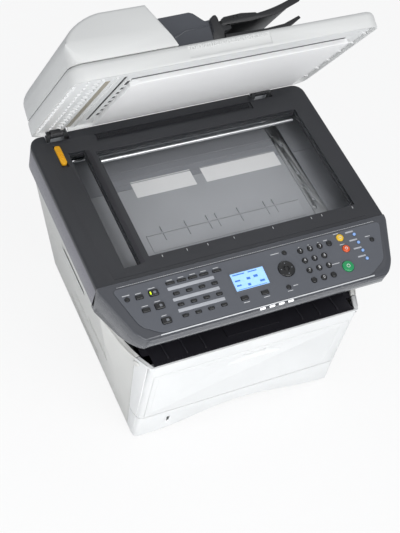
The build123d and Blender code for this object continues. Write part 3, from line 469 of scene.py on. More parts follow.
# The underside: a ribbed plate with the feeder's slits, small gussets along its rim, and the document mat.
mat = {"left": -141.0, "right": 222.0, "rear": -10.0, "front": -228.0, "low": -1.5, "high": 5.8,
       "cutCorner": 12.0}
underside = {
    "low": 5.0, "high": 8.5, "half": 243.5, "front": -287.5, "rear": -7.5, "corner": 18.0,
    "slit": (-158.5, -153.5, -254.0, -32.0), "guide": (-147.0, -141.0, -228.0, -48.0),
    "channel": (mat["left"] - 2, mat["right"] - 8, mat["front"] - 11, mat["front"] - 0.8),
    "rails": ((-196.0, -190.5, 3.0), (-173.0, -170.0, 2.5)), "railSpan": (-262.0, -12.0),
    "strip": (-187.0, -179.0, -249.0, -13.0), "bridge": (-206.0, -196.0), "bridges": 7, "bridgePitch": 22.0,
    "gussetHigh": 4.0, "gussetThick": 1.6, "frontGussets": 11, "sideGussets": 6, "feederGussets": 17,
    "feederRows": ((-238, 0, 9, 4.0, "right"), (-197, 4, 10, 4.0, "left"), (-217, 2, 7, 3, "right")),
}


def addGusset(x, y, length, high, towards):  # a small triangular rib standing on the plate
    low, half = underside["low"] + 0.5, underside["gussetThick"] / 2
    piece = addOutline("gusset", [(0, 0), (length, 0), (0, high)], -half, half, "y")
    for vertex in piece.data.vertices:
        vertex.co.z = low - vertex.co.z
    turn = {"right": 0, "rear": pi / 2, "left": pi, "front": -pi / 2}[towards]
    piece.data.transform(Matrix.Translation((x, y, 0)) @ Matrix.Rotation(turn, 4, "Z"))
    editAll(piece)
    bpy.ops.mesh.normals_make_consistent(inside=False)
    bpy.ops.object.mode_set(mode="OBJECT")
    return piece


def makeGussets():  # three rows under the feeder, one along the front rim and one along the right
    half, front, depth = underside["half"], underside["front"], underside["rear"] - underside["front"]
    high = underside["gussetHigh"]
    pieces = []
    pitch = (depth - 40) / (underside["feederGussets"] - 1)
    for number in range(underside["feederGussets"]):
        for x, shift, length, tall, towards in underside["feederRows"]:
            pieces.append(addGusset(x, front + 22 + number * pitch + shift, length, tall, towards))
    pitch = (2 * half - 120) / (underside["frontGussets"] - 1)
    for number in range(underside["frontGussets"]):
        x = -half + 90 + number * pitch
        if x < 225:
            pieces.append(addGusset(x, front + 1, 12, high, "rear"))
    pitch = (depth - 70) / (underside["sideGussets"] - 1)
    for number in range(underside["sideGussets"]):
        pieces.append(addGusset(half - 1, front + 40 + number * pitch, 12, high, "left"))
    return pieces


def makeUnderside():
    half, low = underside["half"], underside["low"]
    plate = addOutline("lidUnderside", rectangle(-half, half, underside["front"], underside["rear"]),
                       low, underside["high"])
    roundEdges(plate, underside["corner"], 6, upright)
    cutAtHinges(plate, hinges["notchHalf"], *hinges["notch"], 0, 12)
    for opening in ("slit", "guide", "channel"):
        cut(plate, addBlock("slit", *underside[opening], 0, 12))
    rails = [addBlock("rail", left, right, *underside["railSpan"], low - high, low + 1)
             for left, right, high in underside["rails"]]
    for rail in rails:
        soften(rail, 0.8)
    pieces = rails + makeGussets()
    soften(plate, 0.5)
    clad(gather("lidUnderside", [plate] + pieces), lidPlane, "lid", whiteAbs,
         ["lid_underside"])
    strip = addBlock("guideFilm", *underside["strip"], low - 0.6, low + 0.5)
    soften(strip, 0.3)
    clad(strip, lidPlane, "lid", brassFilm)
    gapLow = low + 1.0
    # Dark floors under the openings: under the feeder's slit, the dark works behind it; under the guide and
    # the channel, along the mat's left and front edges, painted shade in the gaps beside the mat.
    dark = []
    for opening, side, front, rear in (("slit", 1, 2, 2), ("guide", 1, 2, 2), ("channel", 2, 1.5, 1.8)):
        left, right, near, far = underside[opening]  # each floor reaches a little under the plate
        dark.append(addBlock("slitFloorAndGapShade", left - side, right + side, near - front, far + rear,
                             gapLow, gapLow + 0.8))
    clad(gather("slitFloorAndGapShade", dark), lidPlane, "lid", innerAbs)
    left, right = underside["guide"][:2]
    bridge = addBlock("guideBridges", left + 0.3, right - 0.3, *underside["bridge"], gapLow - 0.9,
                      gapLow + 0.2)
    soften(bridge, 0.3, 1)
    bridges = repeat(bridge, [(0, number * underside["bridgePitch"], 0)
                              for number in range(underside["bridges"])])
    clad(bridges, lidPlane, "lid", whiteAbs)


def makeMat():
    corner = mat["cutCorner"]
    points = [
        (mat["left"] + corner, mat["front"]), (mat["right"], mat["front"]),
        (mat["right"], mat["rear"]), (mat["left"], mat["rear"]), (mat["left"], mat["front"] + corner),
    ]
    pad = addOutline("documentMat", points, mat["low"], mat["high"])
    roundEdges(pad, 4, 4, lambda a, b: upright(a, b) and a.x > 200)
    soften(pad, 1.2, 3)
    clad(pad, lidPlane, "lid", paperWhite, ["document_mat"])


# The feeder's white cover: a hump with a long rounded left side and a front that leans back from a crease.
feeder = {
    "left": -243.0, "curve": -177.0, "flat": -108.0, "right": -81.0, "top": 96.0, "low": 26.5,
    "front": -289.0, "rear": -12.0, "crease": 56.0, "lean": 11.0, "wall": 2.5, "frontRadius": 22.0,
    "edge": 5.0,
    "slope": 0.275, "bendLow": 50.0, "bendSteps": 10, "mouth": (-105.0, -76.0, -274.0, -22.0, 22.0, 74.0),
}


def feederOutline(inset, low):
    left = feeder["left"] + inset
    top = feeder["top"] - inset
    steps = feeder["bendSteps"]
    bend = []
    for step in range(steps + 1):
        turn = pi / 2 * step / steps
        across = feeder["curve"] + inset - (feeder["curve"] - feeder["left"]) * sin(turn) ** 1.25
        up = top - (top - feeder["bendLow"]) * (1 - cos(turn) ** 1.1)
        bend.append((across, up))
    return [(feeder["right"] - inset, low), (feeder["flat"] - inset, top)] + bend + [(left, low)]


def makeFeederCover():
    front, back, crease = feeder["front"], feeder["rear"], feeder["crease"]
    shell = addOutline("feederCover", feederOutline(0, feeder["low"]), front, back, "y")
    roundEdges(shell, feeder["frontRadius"], 8,
               lambda a, b: max(a.x, b.x) < feeder["left"] + 0.5 and abs(a.z - b.z) > 10 and a.y < -280)
    editAll(shell)
    leanNormal = Vector((0, -(feeder["top"] - crease), feeder["lean"])).normalized()
    bpy.ops.mesh.bisect(plane_co=(0, front, crease), plane_no=leanNormal, use_fill=True, clear_outer=True)
    bpy.ops.object.mode_set(mode="OBJECT")

    def onSlope(corner):
        return abs(corner.y - (front + (corner.z - crease) * feeder["slope"])) < 0.4

    roundEdges(shell, feeder["edge"], 5, lambda a, b: max(a.z, b.z) > crease + 1 and onSlope(a)
               and onSlope(b))
    cut(shell, addOutline("inside", feederOutline(feeder["wall"], feeder["low"] - 5),
                          front + 14, back - feeder["wall"], "y"))
    cut(shell, addBlock("mouth", *feeder["mouth"]))
    soften(shell, 0.6)
    clad(shell, lidPlane, "feeder_cover", shadedLidAbs, ["adf_cover"])


makeLidShell()
makeUnderside()
makeMat()
makeFeederCover()
print("lid made")


# Scanner: a charcoal top with two windows over a grey side band.
scanner = {
    "half": 247.0, "rear": 302.0, "top": 325.0, "plateLow": 315.0, "caseLow": 271.0, "corner": 20.0,
    "edgeRound": 4.0, "caseRound": 5.0, "wall": 3.0, "glassSeat": 4.2, "windows": (
        ((-152.0, 210.0, 31.6, 247.8), 3.0), ((-195.0, -168.0, 22.0, 256.0), 2.0)),  # each with its ledge
    "trough": (-141.0, 141.0, 268.0, 284.0), "ridges": 81, "ridgePitch": 3.4,
    "lock": (-214.0, -203.0, 230.0, 276.0), "slider": (-213.4, -203.6, 236.0, 274.0),
    "sliderRib": (-212.0, -205.0, 246.0, 247.6), "sliderRibs": 4, "sliderPitch": 4.6,
    "groove": (5.4, 6.2), "divider": (-167.2, -160.0, 24.0, 254.0),
    "sizeMarks": (-131, -90, -55, -10, 58, 127, 146, 203), "markSpan": (24.5, 28.5),
}


def makeScannerTop():
    half, back, top = scanner["half"], scanner["rear"], scanner["top"]
    plate = addOutline("scannerTop", rectangle(-half, half, 0, back), scanner["plateLow"], top)
    roundEdges(plate, scanner["corner"], 8, lambda a, b: upright(a, b) and a.y > back - 1)
    roundEdges(plate, scanner["edgeRound"], 5, lambda a, b: min(a.z, b.z) > top - 0.1 and max(a.y, b.y) > 1)
    for (left, right, front, rear), ledge in scanner["windows"]:
        cut(plate, addBlock("window", left, right, front, rear, top - scanner["glassSeat"], top + 3))
        cut(plate, addBlock("window", left + ledge, right - ledge, front + ledge, rear - ledge, 300, top))
    cut(plate, addBlock("trough", *scanner["trough"], top - 3, top + 3))
    cut(plate, addBlock("lockSlot", *scanner["lock"], top - 4, top + 3))
    cutAtHinges(plate, hinges["wellHalf"], hinges["wellFront"], back + 5, 300, top + 3)
    cut(plate, addBlock("groove", -half + 30, half - 30, *scanner["groove"], top - 0.6, top + 3))
    soften(plate, 0.7)
    clad(plate, machine, "root", charcoalAbs, ["scanner_frame"])
    left, right, front, rear = scanner["trough"]
    ridge = addBlock("troughRidges", left + 4, left + 5.6, front + 6, rear - 1.5, top - 3.2, top - 0.6)
    ridges = repeat(ridge, [(number * scanner["ridgePitch"], 0, 0) for number in range(scanner["ridges"])])
    clad(ridges, machine, "root", charcoalAbs)
    strip = addBlock("dividerStrip", *scanner["divider"], top - 0.3, top + 0.35)
    soften(strip, 0.3)
    clad(strip, machine, "root", trayAbs)
    dash = addBlock("sizeMarks", -0.4, 0.4, *scanner["markSpan"], top - 0.2, top + 0.12)
    clad(repeat(dash, [(x, 0, 0) for x in scanner["sizeMarks"]]), machine, "root", inkWhite)


def makeScannerCase():
    half, back, wall = scanner["half"], scanner["rear"], scanner["wall"]
    low, high = scanner["caseLow"], scanner["plateLow"] - 0.6
    case = addOutline("scannerCase", rectangle(-half, half, 0, back), low, high)
    roundEdges(case, scanner["corner"], 8, lambda a, b: upright(a, b) and a.y > back - 1)
    roundEdges(case, scanner["caseRound"], 4, lambda a, b: max(a.z, b.z) < low + 0.1 and max(a.y, b.y) > 1)
    inner = half - wall
    hollow = addOutline("hollow", rectangle(-inner, inner, wall, back - wall), low + wall, high + 5)
    roundEdges(hollow, scanner["corner"] - wall, 8, lambda a, b: upright(a, b) and a.y > back - 5)
    cut(case, hollow)
    cutAtHinges(case, hinges["wellHalf"], hinges["wellFront"], back + 5, 311, 330)
    soften(case, 0.5)
    clad(case, machine, "root", sideAbs, ["scanner_case"])


# The floor that shows through the glass. Raised forms: spans along X and Y, and how far they stand over it.
floorPan = {
    "low": 274.2, "high": 277.0, "front": (-242, 182, 6, 196), "side": (184, 242, 6, 196),
    "rear": (-242, 242, 196.5, 292), "fins": (-92, -50, -12, 4, 44, 92, 108), "bands": (206, 219, 233),
    "raised": ((-120, 152, 98, 100, 2.2), (-120, 152, 66, 98, 0.9), (-118, 176, 46, 46.9, 1.2),
               (-118, 176, 58, 58.9, 1.2)),
    "blocks": 8, "blockPitch": 46, "labels": ((-103, 3, 176, 209), (21, 160, 176, 208)),
    "labelEdge": (-8, -5.5, 176, 209), "bracket": (167, 190, 60, 260), "holes": (92, 150, 214),
    "screws": (76, 122, 184, 240), "rod": (239, 309), "rodSpan": (-147, 204),
}


def addOnFloor(name, xLow, xHigh, yLow, yHigh, over, sunk=0.5):
    high = floorPan["high"]
    return addBlock(name, xLow, xHigh, yLow, yHigh, high - sunk, high + over)


def makeScannerFloor():
    low, high = floorPan["low"], floorPan["high"]
    front = addBlock("scannerFloor", *floorPan["front"], low, high)
    soften(front, 0.6)
    raised = [addOnFloor("raised", *form) for form in floorPan["raised"]]
    raised += [addOnFloor("fin", x, x + 1.2, 84, 112, 2.4) for x in floorPan["fins"]]
    for part in raised:
        soften(part, 0.3, 1)
    clad(gather("scannerFloor", [front] + raised), machine, "root", floorAbs)
    # The floor's rear, its right-hand strip and the forms on them take a darker copy of its grey: painted
    # shade where less light reaches than at the front.
    darker = [addBlock("scannerFloorRear", *floorPan["rear"], low, high)]
    darker.append(addBlock("sideFloor", *floorPan["side"], low, high))
    darker += [addOnFloor("band", -150, 180, y, y + 1.4, 0.9, 0.4) for y in floorPan["bands"]]
    for number in range(floorPan["blocks"]):
        shift = floorPan["blockPitch"] * number
        darker.append(addOnFloor("block", -150 + shift, -132 + shift, 268, 286, 2))
    darker = gather("scannerFloorRear", darker)
    soften(darker, 0.4, 1)
    clad(darker, machine, "root", shadedRearFloor)
    labels = [addOnFloor("blankLabels", *label, 0.25, 0) for label in floorPan["labels"]]
    labels.append(addOnFloor("label", *floorPan["labelEdge"], 0.4, -0.1))
    clad(gather("blankLabels", labels), machine, "root", paperWhite)
    bracket = addOnFloor("scannerBracket", *floorPan["bracket"], 1.4, 0)
    for y in floorPan["holes"]:
        cut(bracket, addDisc("hole", 3.2, (178, y), high - 2, high + 4, "z", 20))
    soften(bracket, 0.4)
    rod = addDisc("carriageRod", 3.0, floorPan["rod"], *floorPan["rodSpan"], "x", 28)
    clad(rod, machine, "root", brightSteel)
    screws = [addDisc("screw", 3.6, (172.5, y), high + 1, high + 2.2, "z", 20) for y in floorPan["screws"]]
    for screw in screws:
        soften(screw, 0.5)
    clad(gather("scannerBracket", [bracket] + screws), machine, "root", zincSheet)


def makeLockSlider():
    top = scanner["top"]
    slider = addBlock("lockSlider", *scanner["slider"], top - 3.6, top + 1.8)
    roundEdges(slider, 3.5, 5, upright)
    roundEdges(slider, 0.9, 3, lambda a, b: min(a.z, b.z) > top + 1.7)
    rib = addBlock("rib", *scanner["sliderRib"], top + 1.4, top + 2.9)
    soften(rib, 0.5)
    ribs = repeat(rib, [(0, number * scanner["sliderPitch"], 0) for number in range(scanner["sliderRibs"])])
    clad(gather("lockSlider", [slider, ribs]), machine, "lock_slider", amberAcetal,
         ["lock_slider"])


makeScannerTop()
makeScannerCase()
makeScannerFloor()
makeLockSlider()
print("scanner made")


# Operation panel, in the plane of its face: x to the right, y to the rear from the seam, z off the face.
panel = {
    "half": 247.0, "length": 97.0, "noseDrop": 26.0, "noseRound": 7.0, "faceHigh": 1.2, "faceRound": 8.0,
    "keyGap": 0.4, "keyLow": -4.0, "hole": (-3.0, 4.0), "display": (-47.0, 11.5, -65.0, -33.0),
    "lamps": (-17, -1, 15, 31), "folds": 143, "foldPitch": 3.1,
}
facePlan = [(-228, -11), (-208, -76), (-180, -95), (176, -95), (208, -76), (232, -11)]
casePlan = [(-247, -0.4), (-247, -12), (-219, -86), (-201, -104), (201, -104), (219, -86), (247, -12),
            (247, -0.4)]
keys = {
    "numbers": [(80.5 + 17.3 * column, -26.0 - 17.5 * row) for row in range(4) for column in range(3)],
    "clear": [(132.2, -26.0)],
    "rounds": [(-211.0, -30.5), (54.0, -22.0), (36.0, -78.5), (205.0, -38.0)],
    "functions": [(-192.0, -31.5), (-190.0, -54.0), (-38.5, -76.5), (-4.0, -76.5)],
    "modes": [(-169.0, -30.5), (-168.0, -53.0), (-167.0, -78.0)],
    "bars": [(x, -22.0) for x in (-139.0, -120.5, -102.0, -83.5, -62.0)],
    "touches": [(-136.3 + 21.0 * column, -40.5 - 18.75 * row) for row in range(3) for column in range(4)],
    "programs": [(180.0, -22.0), (180.5, -37.0), (181.0, -52.0), (181.5, -67.0)],
    "reset": [(154.0, -21.5)], "stop": [(155.5, -42.0)], "start": [(144.5, -71.5)],
    "arrows": [(45.5, -48.7)],
}
keyRadius = {"numbers": 4.6, "clear": 4.6, "rounds": 3.6, "programs": 2.6, "reset": 6.2, "stop": 6.2,
             "start": 9.5, "arrows": 13.5}
keySize = {"functions": (12, 6.5), "modes": (15, 10), "bars": (14, 4), "touches": (9.5, 4.6)}
holeCorner = {"functions": 1.5, "modes": 2.5, "bars": 1.0, "touches": 1.7}
cells = [(-42, -37, 20, 1.8), (-16, -37, 15, 1.8), (-42, -47, 9, 2.6), (-22, -47, 6, 4), (-10, -46, 7, 4),
         (-42, -55, 8, 2.6), (-24, -57, 5, 4), (-3, -56, 8, 3.4), (-42, -62, 48, 0.8)]
dashPlaces = [
    (-211, -24, 12), (-192, -25.5, 9), (-190, -47.5, 10), (-170, -22.6, 11), (-169, -45.2, 9),
    (-168, -69.6, 8),
    (-139, -17.6, 9), (-120, -17.2, 9), (-101, -17.2, 9), (-83, -17.2, 9), (-62, -17.2, 9), (38, -20, 14),
    (48, -78.5, 8), (36, -85, 9), (128, -19.5, 7), (150, -13.5, 9), (152, -33.5, 8), (125, -62, 17),
    (200, -31, 9), (-38, -84, 10), (-4, -84, 10), (80.5, -19.6, 2), (97.8, -19.6, 2), (115, -19.6, 2),
]


def softKey(name, place, length, width, low, high, corner, dome=1.0):
    x, y = place
    key = addBlock(name, x - length / 2, x + length / 2, y - width / 2, y + width / 2, low, high)
    roundEdges(key, corner, 5, upright)
    roundEdges(key, dome, 3, lambda a, b: min(a.z, b.z) > high - 0.01)
    return key


def roundKey(name, place, radius, low, high, dome=1.4, sides=40):
    key = addDisc(name, radius, place, low, high, "z", sides)
    roundEdges(key, dome, 4, lambda a, b: min(a.z, b.z) > high - 0.01)
    return key


def roundGroup(name, group, high, dome=1.4, low=panel["keyLow"], sides=40):
    return [roundKey(name, place, keyRadius[group], low, high, dome, sides) for place in keys[group]]


def softGroup(name, group, high, corner, dome=1.0):
    return [softKey(name, place, *keySize[group], panel["keyLow"], high, corner, dome)
            for place in keys[group]]


def cladOnPanel(name, pieces, body, finish, stands=()):
    clad(gather(name, pieces), panelPlane, body, finish, stands)


def makePanelCase():
    low = -panel["noseDrop"]
    front = -panel["length"]
    profile = [(-0.4, -0.2), (front - 1, -0.2), (front - 5.5, -6), (front - 6, -14), (front - 2, low - 4),
               (-62, -47), (-0.4, -56)]
    case = addOutline("panelCase", profile, -panel["half"], panel["half"], "x")
    plan = addOutline("plan", casePlan, -90, 30)
    roundEdges(plan, 12, 6, lambda a, b: upright(a, b) and a.y < -60)
    combine(case, plan, "INTERSECT")
    roundEdges(case, panel["noseRound"] * 0.45, 4,
               lambda a, b: min(a.z, b.z) > -0.6 and max(a.y, b.y) < -8)
    inside = [(x * 0.965, y * 0.93 - 3.5) for x, y in facePlan]
    cut(case, addOutline("pocket", inside, -9, 5))
    soften(case, 0.8)
    clad(case, panelPlane, "root", nosePaint, ["panel_case"], 40)
    # A painted highlight: a bright silver half-round bar where the lamps' reflection runs along the nose.
    trim = addDisc("noseHighlight", 1.5, (-98.6, -1.9), -183, 181, "x", 16)
    for vertex in trim.data.vertices:  # the painted highlight thins out and bends back towards both ends
        reach = max(0.0, abs(vertex.co.x) - 150) / 33
        vertex.co.y += 2.2 * reach * reach
    soften(trim, 0.3)
    clad(trim, panelPlane, "root", noseHighlightPaint)
    lamps = [softKey("statusLamps", (x, -99.6), 9, 2.2, -4.5, -1.0, 0.8, 0.4) for x in panel["lamps"]]
    cladOnPanel("statusLamps", lamps, "root", whiteLamp)


def makePanelFace():
    face = addOutline("panelFace", facePlan, -0.1, panel["faceHigh"])
    roundEdges(face, panel["faceRound"], 6, upright)
    gap = panel["keyGap"]
    low, high = panel["hole"]
    tools = []
    for group, radius in keyRadius.items():
        tools += [addDisc("hole", radius + gap, place, low, high, "z", 40) for place in keys[group]]
    for group, (length, width) in keySize.items():
        for x, y in keys[group]:
            hole = addBlock("hole", x - length / 2 - gap, x + length / 2 + gap,
                            y - width / 2 - gap, y + width / 2 + gap, low, high)
            roundEdges(hole, holeCorner[group], 3, upright)
            tools.append(hole)
    left, right, front, rear = panel["display"]
    tools.append(addBlock("hole", left - 0.2, right + 0.2, front - 0.2, rear + 0.2, low, high))
    cut(face, gather("holes", tools))
    soften(face, 0.25, 1)
    clad(face, panelPlane, "root", panelPaint, ["panel_face"])
    well = addOutline("keyWell", [(x * 0.955, y * 0.92 - 4) for x, y in facePlan], -8.5, -6.5)
    clad(well, panelPlane, "root", keyAbs)


def makeDisplay():
    left, right, front, rear = panel["display"]
    pane = addBlock("display", left + 0.2, right - 0.2, front + 0.2, rear - 0.2, -4, 0.7)
    soften(pane, 0.2, 1)
    clad(pane, panelPlane, "root", displayGlow, ["display"])
    frameOuter = addBlock("displayFrame", left - 1.8, right + 1.8, front - 1.8, rear + 1.8, 0.6, 1.7)
    cut(frameOuter, addBlock("hole", left + 1.2, right - 1.2, front + 1.2, rear - 1.2, -2, 4))
    soften(frameOuter, 0.4)
    clad(frameOuter, panelPlane, "root", panelPaint)
    blocks = [addBlock("displayCells", x, x + length, y - high / 2, y + high / 2, 0.6, 0.78)
              for x, y, length, high in cells]
    cladOnPanel("displayCells", blocks, "root", displayInk)


def makeKeys():
    low = panel["keyLow"]
    domes = roundGroup("numberKeys", "numbers", 3.2) + roundGroup("numberKeys", "clear", 3.2)
    cladOnPanel("numberKeys", domes, "number_keys", keyAbs, ["number_keys"])
    places = keys["numbers"][:9] + [keys["numbers"][10]]
    figures = [addFigure(figure, place, 3.2) for figure, place in zip("1234567890", places)]
    cladOnPanel("keyFigures", figures, "number_keys", inkWhite)
    small = roundGroup("functionKeys", "rounds", 2.6, 1.1) + softGroup("key", "functions", 2.6, 1.5)
    small += softGroup("key", "bars", 2.6, 0.9, 0.8) + softGroup("key", "touches", 2.6, 1.7)
    cladOnPanel("functionKeys", small, "function_keys", keyAbs, ["function_keys"])
    cladOnPanel("programKeys", roundGroup("programKeys", "programs", 2.8, 0.9, 1.0, 28), "function_keys",
                blueAbs)
    cladOnPanel("modeKeys", softGroup("modeKeys", "modes", 3.0, 2.3, 1.2), "mode_keys", keyAbs,
                ["mode_keys"])
    pips = [softKey("modeMarks", (x + 1.5, y), 4.2, 4.2, 2.8, 3.12, 1.2, 0.05) for x, y in keys["modes"]]
    cladOnPanel("modeMarks", pips, "mode_keys", darkLabel)
    x, y = keys["modes"][0]
    cladOnPanel("copyLamp", [softKey("copyLamp", (x - 5.2, y), 1.8, 4.6, 2.6, 3.25, 0.7, 0.2)], "mode_keys",
                limeLamp)
    cladOnPanel("stopKey", roundGroup("stopKey", "stop", 3.0, 1.8), "stop_keys", orangeAbs,
                ["stop_keys"])
    cladOnPanel("resetKey", roundGroup("resetKey", "reset", 3.0, 1.8), "stop_keys", yellowAbs)
    cladOnPanel("startKey", roundGroup("startKey", "start", 3.4, 2.2, low, 56), "start_key", greenAbs,
                ["start_key"])
    rings = [addRing("keyRings", 2.4, 0.7, keys[group][0], 2.7, 3.1, 28) for group in ("stop", "reset")]
    cladOnPanel("keyRings", rings, "stop_keys", inkWhite)
    startRing = addRing("startRing", 3.0, 0.8, keys["start"][0], 3.1, 3.5, 32)
    cladOnPanel("startRing", [startRing], "start_key", inkWhite)
    x, y = keys["arrows"][0]
    disc = roundKey("arrowKeys", (x, y), keyRadius["arrows"], low, 3.2, 1.8, 64)
    cut(disc, addDisc("hole", 4.4, (x, y), 1.2, 6, "z", 32))
    soften(disc, 0.4)
    button = roundKey("button", (x, y), 4.0, 0.8, 3.0, 1.2)
    cladOnPanel("arrowKeys", [disc, button], "arrow_keys", keyAbs, ["arrow_keys"])
    arrows = []
    for quarter in range(4):
        arrow = addOutline("arrowMarks", [(-1.3, 0), (1.3, 0), (0, 1.9)], 3.1, 3.28)
        turn = Matrix.Rotation(quarter * pi / 2, 4, "Z") @ Matrix.Translation((0, 8.4, 0))
        arrow.data.transform(Matrix.Translation((x, y, 0)) @ turn)
        arrows.append(arrow)
    cladOnPanel("arrowMarks", arrows, "arrow_keys", darkLabel)


def addRing(name, radius, wide, place, low, high, sides):
    ring = addDisc(name, radius, place, low, high, "z", sides)
    cut(ring, addDisc("hole", radius - wide, place, 0, 6, "z", sides))
    return ring


def addFigure(figure, place, height):  # a plain number printed on a key
    bpy.ops.object.select_all(action="DESELECT")
    bpy.ops.object.text_add(location=(place[0], place[1], height - 0.05))
    text = bpy.context.object
    text.data.body = figure
    text.data.size = 6.4
    text.data.extrude = 0.08
    text.data.align_x = "CENTER"
    text.data.align_y = "CENTER"
    selectOnly(text)
    bpy.ops.object.convert(target="MESH")
    bpy.ops.object.transform_apply(location=True, rotation=True, scale=True)
    return bpy.context.object


def makePanelPrint():  # blank label strips and short dashes where the keys' names would be
    high = panel["faceHigh"]
    low, top = high - 0.1, high + 0.25
    strips = [softKey("labelStrips", (-108.6 + 1.2 * row, -31.3 - 18.75 * row), 76, 5.4, low, top, 1, 0.1)
              for row in range(3)]
    strips += [softKey("strip", (x - 6.5, y + 6.0), 14, 2.6, low, top, 0.6, 0.1)
               for x, y in keys["programs"]]
    cladOnPanel("labelStrips", strips, "root", labelFilm)
    dashes = [addBlock("keyDashes", x - length / 2, x + length / 2, y - 0.45, y + 0.45, low, high + 0.06)
              for x, y, length in dashPlaces]
    cladOnPanel("keyDashes", dashes, "root", inkWhite)
    dot = addBlock("foldLine", -219, -217.2, -8.3, -7.7, high - 1.4, high - 0.9)
    dots = repeat(dot, [(number * panel["foldPitch"], 0, 0) for number in range(panel["folds"])])
    clad(dots, panelPlane, "root", inkWhite)


makePanelCase()
makePanelFace()
makeDisplay()
makeKeys()
makePanelPrint()
print("panel made")


# Body: white shells that stand upright at the front corners and lean out towards the scanner further back.
body = {
    "half": 184.0, "front": -95.0, "rear": 277.0, "coverTop": 214.0, "coverLow": 62.0, "wall": 3.0,
    "foot": 4.0,
    "leftFlare": 58.0, "rightFlare": 36.0, "leanStart": -12.0, "leanHeight": 266.0, "sideSeam": -67.0,
    "returnStart": -88.0, "cornerRound": 9.0,
}


def flareOf(sign):
    return body["leftFlare"] if sign < 0 else body["rightFlare"]


def leanOut(piece):  # moves a flat-built side out to where the real one leans
    for vertex in piece.data.vertices:
        sign = 1 if vertex.co.x > 0 else -1
        depth = min(1.0, max(0.0, (vertex.co.y - body["front"]) / (body["leanStart"] - body["front"])))
        height = max(0.0, vertex.co.z - body["foot"]) / body["leanHeight"]
        vertex.co.x += sign * flareOf(sign) * depth * height


def splitAcross(piece, place, normal):  # one straight cut across the whole mesh, which takes nothing away
    editAll(piece)
    bpy.ops.mesh.bisect(plane_co=place, plane_no=normal)
    bpy.ops.object.mode_set(mode="OBJECT")


def cornerReturns(low, high):  # the two short sides behind the front corners
    strips = []
    for sign in (-1, 1):
        xLow, xHigh = span(sign, body["half"] - body["wall"], body["half"])
        strip = addBlock("return", xLow, xHigh, body["returnStart"], body["sideSeam"], low, high)
        soften(strip, 0.6)
        leanOut(strip)
        strips.append(strip)
    return strips


frontCover = {
    "depth": 14.0, "shellTop": 205.0, "lipLow": 200.0, "hollowTop": 202.0, "lipRound": 2.2, "edge": 1.1,
    "openingHalf": 174.6, "openingTop": 186.6, "openingRound": 3.0, "hinge": (-90.5, 68.5), "hingeGap": 8.0,
    "liner": (9.0, 11.0, 76.5, 203.0), "linerSlots": (-120, -60, 0, 60, 120), "slotHalf": 20.0,
    "bossRadius": 3.2, "boss": (175.2, 182.0), "rim": (175.6, 183.4), "rimHigh": 5.0, "seamGap": 1.4,
    "returnLow": 69.5, "knobRadius": 5.2, "knobHeight": 203.0, "knobDepth": -71.5, "knobOut": (0.4, 3.0),
}


def makeFrontCover():
    half, front, low, top = body["half"], body["front"], body["coverLow"], body["coverTop"]
    wall, seam = body["wall"], body["sideSeam"]
    shell = addBlock("frontCover", -half, half, front, front + frontCover["depth"], low,
                     frontCover["shellTop"])
    add(shell, addBlock("lip", -half, half, front, front + wall, frontCover["lipLow"], top))
    roundEdges(shell, body["cornerRound"], 6, lambda a, b: upright(a, b) and a.y < front + 0.1)
    cut(shell, addBlock("hollow", -half + wall, half - wall, front + wall, front + 20,
                        low + wall, frontCover["hollowTop"]))
    opening = frontCover["openingHalf"]
    hole = addBlock("opening", -opening, opening, front - 3, front + 3.5, low - 3, frontCover["openingTop"])
    roundEdges(hole, frontCover["openingRound"], 4, lambda a, b: alongDepth(a, b) and a.z > 100)
    cut(shell, hole)
    hinge = frontCover["hinge"]
    cut(shell, addBlock("lower", -opening, opening, front - 3, front + 16,
                        low - 3, hinge[1] + frontCover["hingeGap"]))
    roundEdges(shell, frontCover["lipRound"], 4,
               lambda a, b: min(a.z, b.z) > top - 0.1 and max(a.y, b.y) < front + 0.1)
    soften(shell, frontCover["edge"], 3)
    near, far, linerLow, linerTop = frontCover["liner"]
    liner = addBlock("liner", -half + 2, half - 2, front + near, front + far, linerLow, linerTop)
    for x in frontCover["linerSlots"]:
        slotHalf = frontCover["slotHalf"]
        cut(liner, addBlock("slot", x - slotHalf, x + slotHalf, front + near - 0.6, front + near + 0.6,
                            96, 98))
    soften(liner, 0.4)
    bosses = []
    rims = []
    for sign in (-1, 1):
        boss = addDisc("boss", frontCover["bossRadius"], hinge, *span(sign, *frontCover["boss"]), "x", 24)
        soften(boss, 0.4)
        bosses.append(boss)
        rim = addBlock("rim", *span(sign, *frontCover["rim"]), front + 2, seam, top - frontCover["rimHigh"],
                       top)
        soften(rim, 1.2, 3)
        leanOut(rim)
        rims.append(rim)
    returns = cornerReturns(low, top)
    for part in returns:  # their lowest corners clear the side covers when the cover opens
        cut(part, addBlock("trim", -260, 260, seam - frontCover["seamGap"], seam + 9, 50,
                           frontCover["returnLow"]))
    clad(gather("frontCover", [shell, liner] + bosses + rims + returns), machine, "front_cover", whiteAbs,
         ["front_cover"])
    knobs = []
    for sign in (-1, 1):
        xLow, xHigh = span(sign, *[half + out for out in frontCover["knobOut"]])
        knob = addDisc("seamKnobs", frontCover["knobRadius"],
                       (frontCover["knobDepth"], frontCover["knobHeight"]),
                       xLow, xHigh, "x", 28)
        roundEdges(knob, 1.4, 4, lambda a, b: min(abs(a.x), abs(b.x)) > half + 2.8)
        leanOut(knob)
        knobs.append(knob)
    clad(gather("seamKnobs", knobs), machine, "front_cover", shadedWarmAbs)


multiTray = {
    "half": 174.0, "low": 62.6, "top": 186.0, "thick": 2.5, "round": 3.0, "back": (8.0, 5.0, 71.5),
    "slot": (-17.0, 25.0, 164.0, 173.5), "slotRound": 1.4, "pocketBack": (-24.0, 32.0, 7.5, 160.0, 178.0),
    "wing": (50.0, 5.2, 10.5), "wingBend": 0.003, "foldLines": (-166.0, 158.0),
    "knuckleRadius": 2.6, "knuckle": (160.0, 174.0), "pinRadius": 1.5, "pin": (173.0, 181.0),
}


